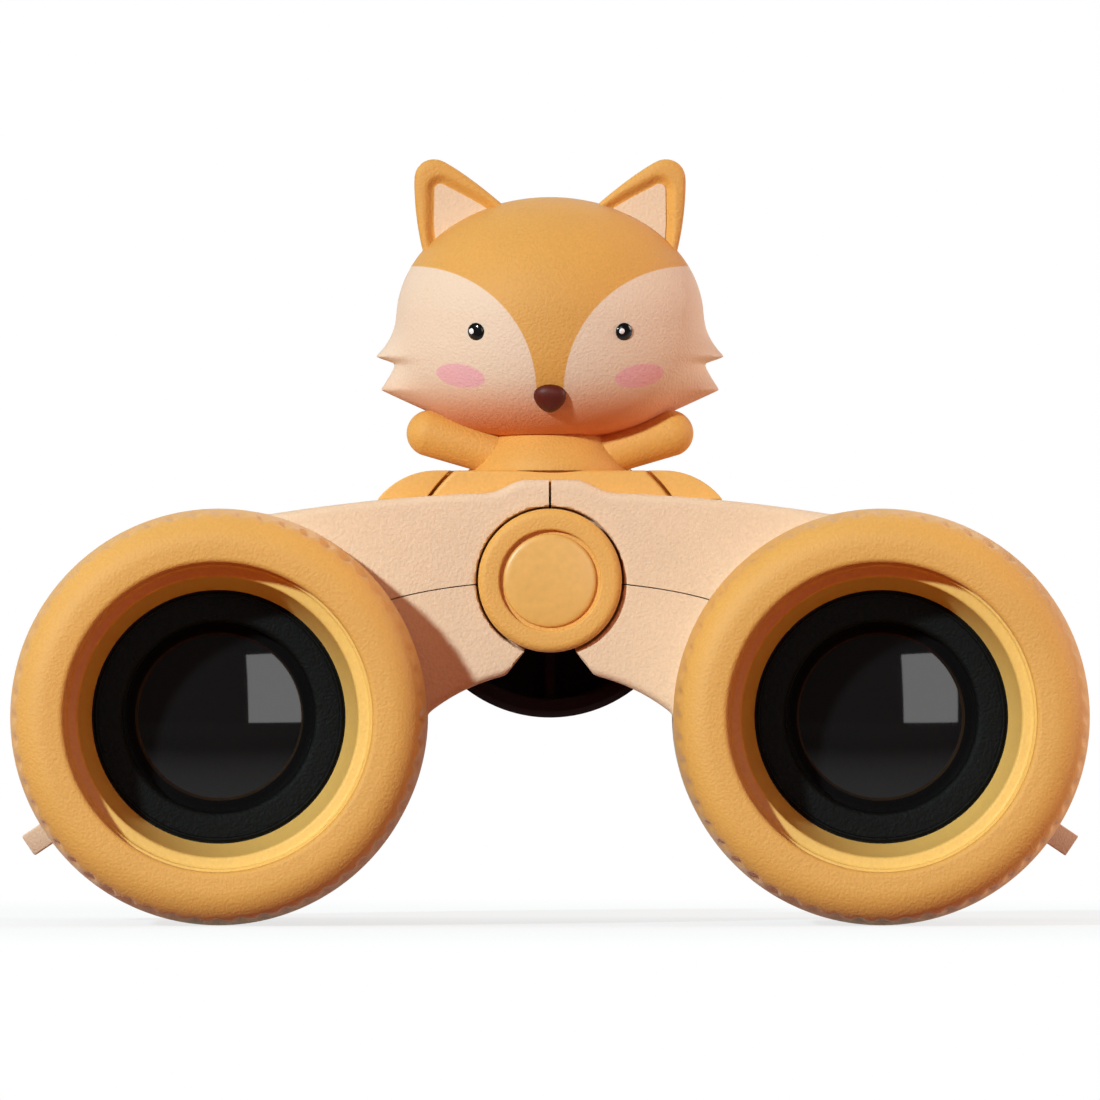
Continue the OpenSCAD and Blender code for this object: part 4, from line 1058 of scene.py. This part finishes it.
floor_half = 0.55
floor_white = 0.76
floor_grey = (0.22, 0.25, 0.26, 1)
warm_bounce = (0.3, 0.06, 0.012, 1)
black = (0, 0, 0, 1)
fade_start = 0.1
fade_end = 0.26
mirror_front = -0.13
mirror_back = -0.03
mirror_least = 0.13
floor_mesh = bmesh.new()
bmesh.ops.create_grid(floor_mesh, x_segments=1, y_segments=1, size=floor_half)
floor_data = bpy.data.meshes.new("floor")
floor_mesh.to_mesh(floor_data)
floor_mesh.free()
floor = bpy.data.objects.new("floor", floor_data)
scene.collection.objects.link(floor)
floor_paint, floor_tree = new_material("floor_paint")
floor_tree.nodes.remove(floor_tree.nodes["Principled BSDF"])
path = add_node(floor_tree, "LightPath", {}).outputs
spot = add_node(floor_tree, "TexCoord", {}).outputs["Object"]
depth = add_node(floor_tree, "SeparateXYZ", {"Vector": spot}).outputs["Y"]
from_middle = add_node(floor_tree, "VectorMath", {0: spot}, operation="LENGTH").outputs["Value"]
fade = ramp(floor_tree, from_middle, fade_start, fade_end, kind="SMOOTHSTEP")
white = ramp(floor_tree, fade, low=floor_white)
mirror_level = ramp(floor_tree, depth, mirror_front, mirror_back, mirror_least, kind="SMOOTHSTEP")
shown = maths(floor_tree, "MAXIMUM", path["Is Camera Ray"], path["Is Transmission Ray"])
in_mirror = maths(floor_tree, "MULTIPLY", mirror_level, path["Is Glossy Ray"])
seen = maths(floor_tree, "MAXIMUM", shown, in_mirror)
glow = add_node(floor_tree, "Emission", {"Strength": maths(floor_tree, "MULTIPLY", seen, white)})
matte = add_node(floor_tree, "BsdfDiffuse", {"Color": mixed(floor_tree, fade, floor_grey, black)})
bounce_tint = mixed(floor_tree, path["Is Glossy Ray"], warm_bounce, black)
bounce = add_node(floor_tree, "BsdfDiffuse", {"Color": bounce_tint})
surface = add_node(floor_tree, "MixShader", {
    0: path["Is Camera Ray"], 1: bounce.outputs[0], 2: matte.outputs[0]})
lit_floor = add_node(floor_tree, "AddShader", {0: surface.outputs[0], 1: glow.outputs[0]})
wire(floor_tree, floor_tree.nodes["Material Output"], {"Surface": lit_floor.outputs[0]})
floor.data.materials.append(floor_paint)

warm_front = (0.36, 0.05, 0.01, 1)
pale_top = (0.36, 0.28, 0.24, 1)
bright_back = (0.8, 0.8, 0.8, 1)
dark_front = (0.1, 0.1, 0.1, 1)
plain_white = (1, 1, 1, 1)
back_full = 0.5
lamp_distance = 3.0
world = bpy.data.worlds.new("studio")
scene.world = world
world.use_nodes = True
sky = world.node_tree
rays = add_node(sky, "LightPath", {}).outputs
way = add_node(sky, "TexCoord", {}).outputs["Generated"]
_, sky_y, sky_z = add_node(sky, "SeparateXYZ", {"Vector": way}).outputs
behind = ramp(sky, sky_y, end=back_full, kind="SMOOTHSTEP")
above = ramp(sky, sky_z, kind="SMOOTHSTEP")
mirrored_rays = maths(sky, "MAXIMUM", rays["Is Glossy Ray"], rays["Is Transmission Ray"])
spill = mixed(sky, behind, mixed(sky, above, warm_front, pale_top), bright_back)
reflected = mixed(sky, behind, dark_front, plain_white)
unseen = mixed(sky, mirrored_rays, spill, reflected)
wire(sky, sky.nodes["Background"], {"Color": mixed(sky, rays["Is Camera Ray"], unseen, plain_white)})


def add_lamp(name, way, width, height, watts, colour):
    """A flat lamp that faces the middle of the object from a direction."""
    data = bpy.data.lights.new(name, "AREA")
    data.shape = "RECTANGLE"
    data.size = width
    data.size_y = height
    data.energy = watts
    data.color = colour
    lamp = bpy.data.objects.new(name, data)
    target = Vector((0, front_y, hinge_z))
    lamp.location = target + Vector(way).normalized() * lamp_distance
    lamp.rotation_euler = (target - lamp.location).to_track_quat("-Z", "Y").to_euler()
    lamp.visible_camera = False
    scene.collection.objects.link(lamp)
    return lamp


add_lamp("key", (-0.68, -1, 0.47), width=0.16, height=0.16, watts=91, colour=(0.75, 0.93, 0.95))
add_lamp("fill", (1, 0.05, 0.25), width=1.2, height=1.2, watts=38, colour=(1, 0.9, 0.78))
panel = add_lamp("panel", (0.314, -0.943, 0.108), width=1.0, height=1.6, watts=22, colour=(1, 1, 1))
panel.visible_diffuse = False

view_width = 115.8 * mm
view_height = 39.63 * mm
view_distance = 3.5
camera_data = bpy.data.cameras.new("camera")
camera_data.sensor_width = 36
camera_data.lens = camera_data.sensor_width * view_distance / view_width
camera = bpy.data.objects.new("camera", camera_data)
camera.location = (0, front_y - view_distance, view_height)
camera.rotation_euler = (pi / 2, 0, 0)
scene.collection.objects.link(camera)
scene.camera = camera
scene.view_settings.view_transform = "Standard"
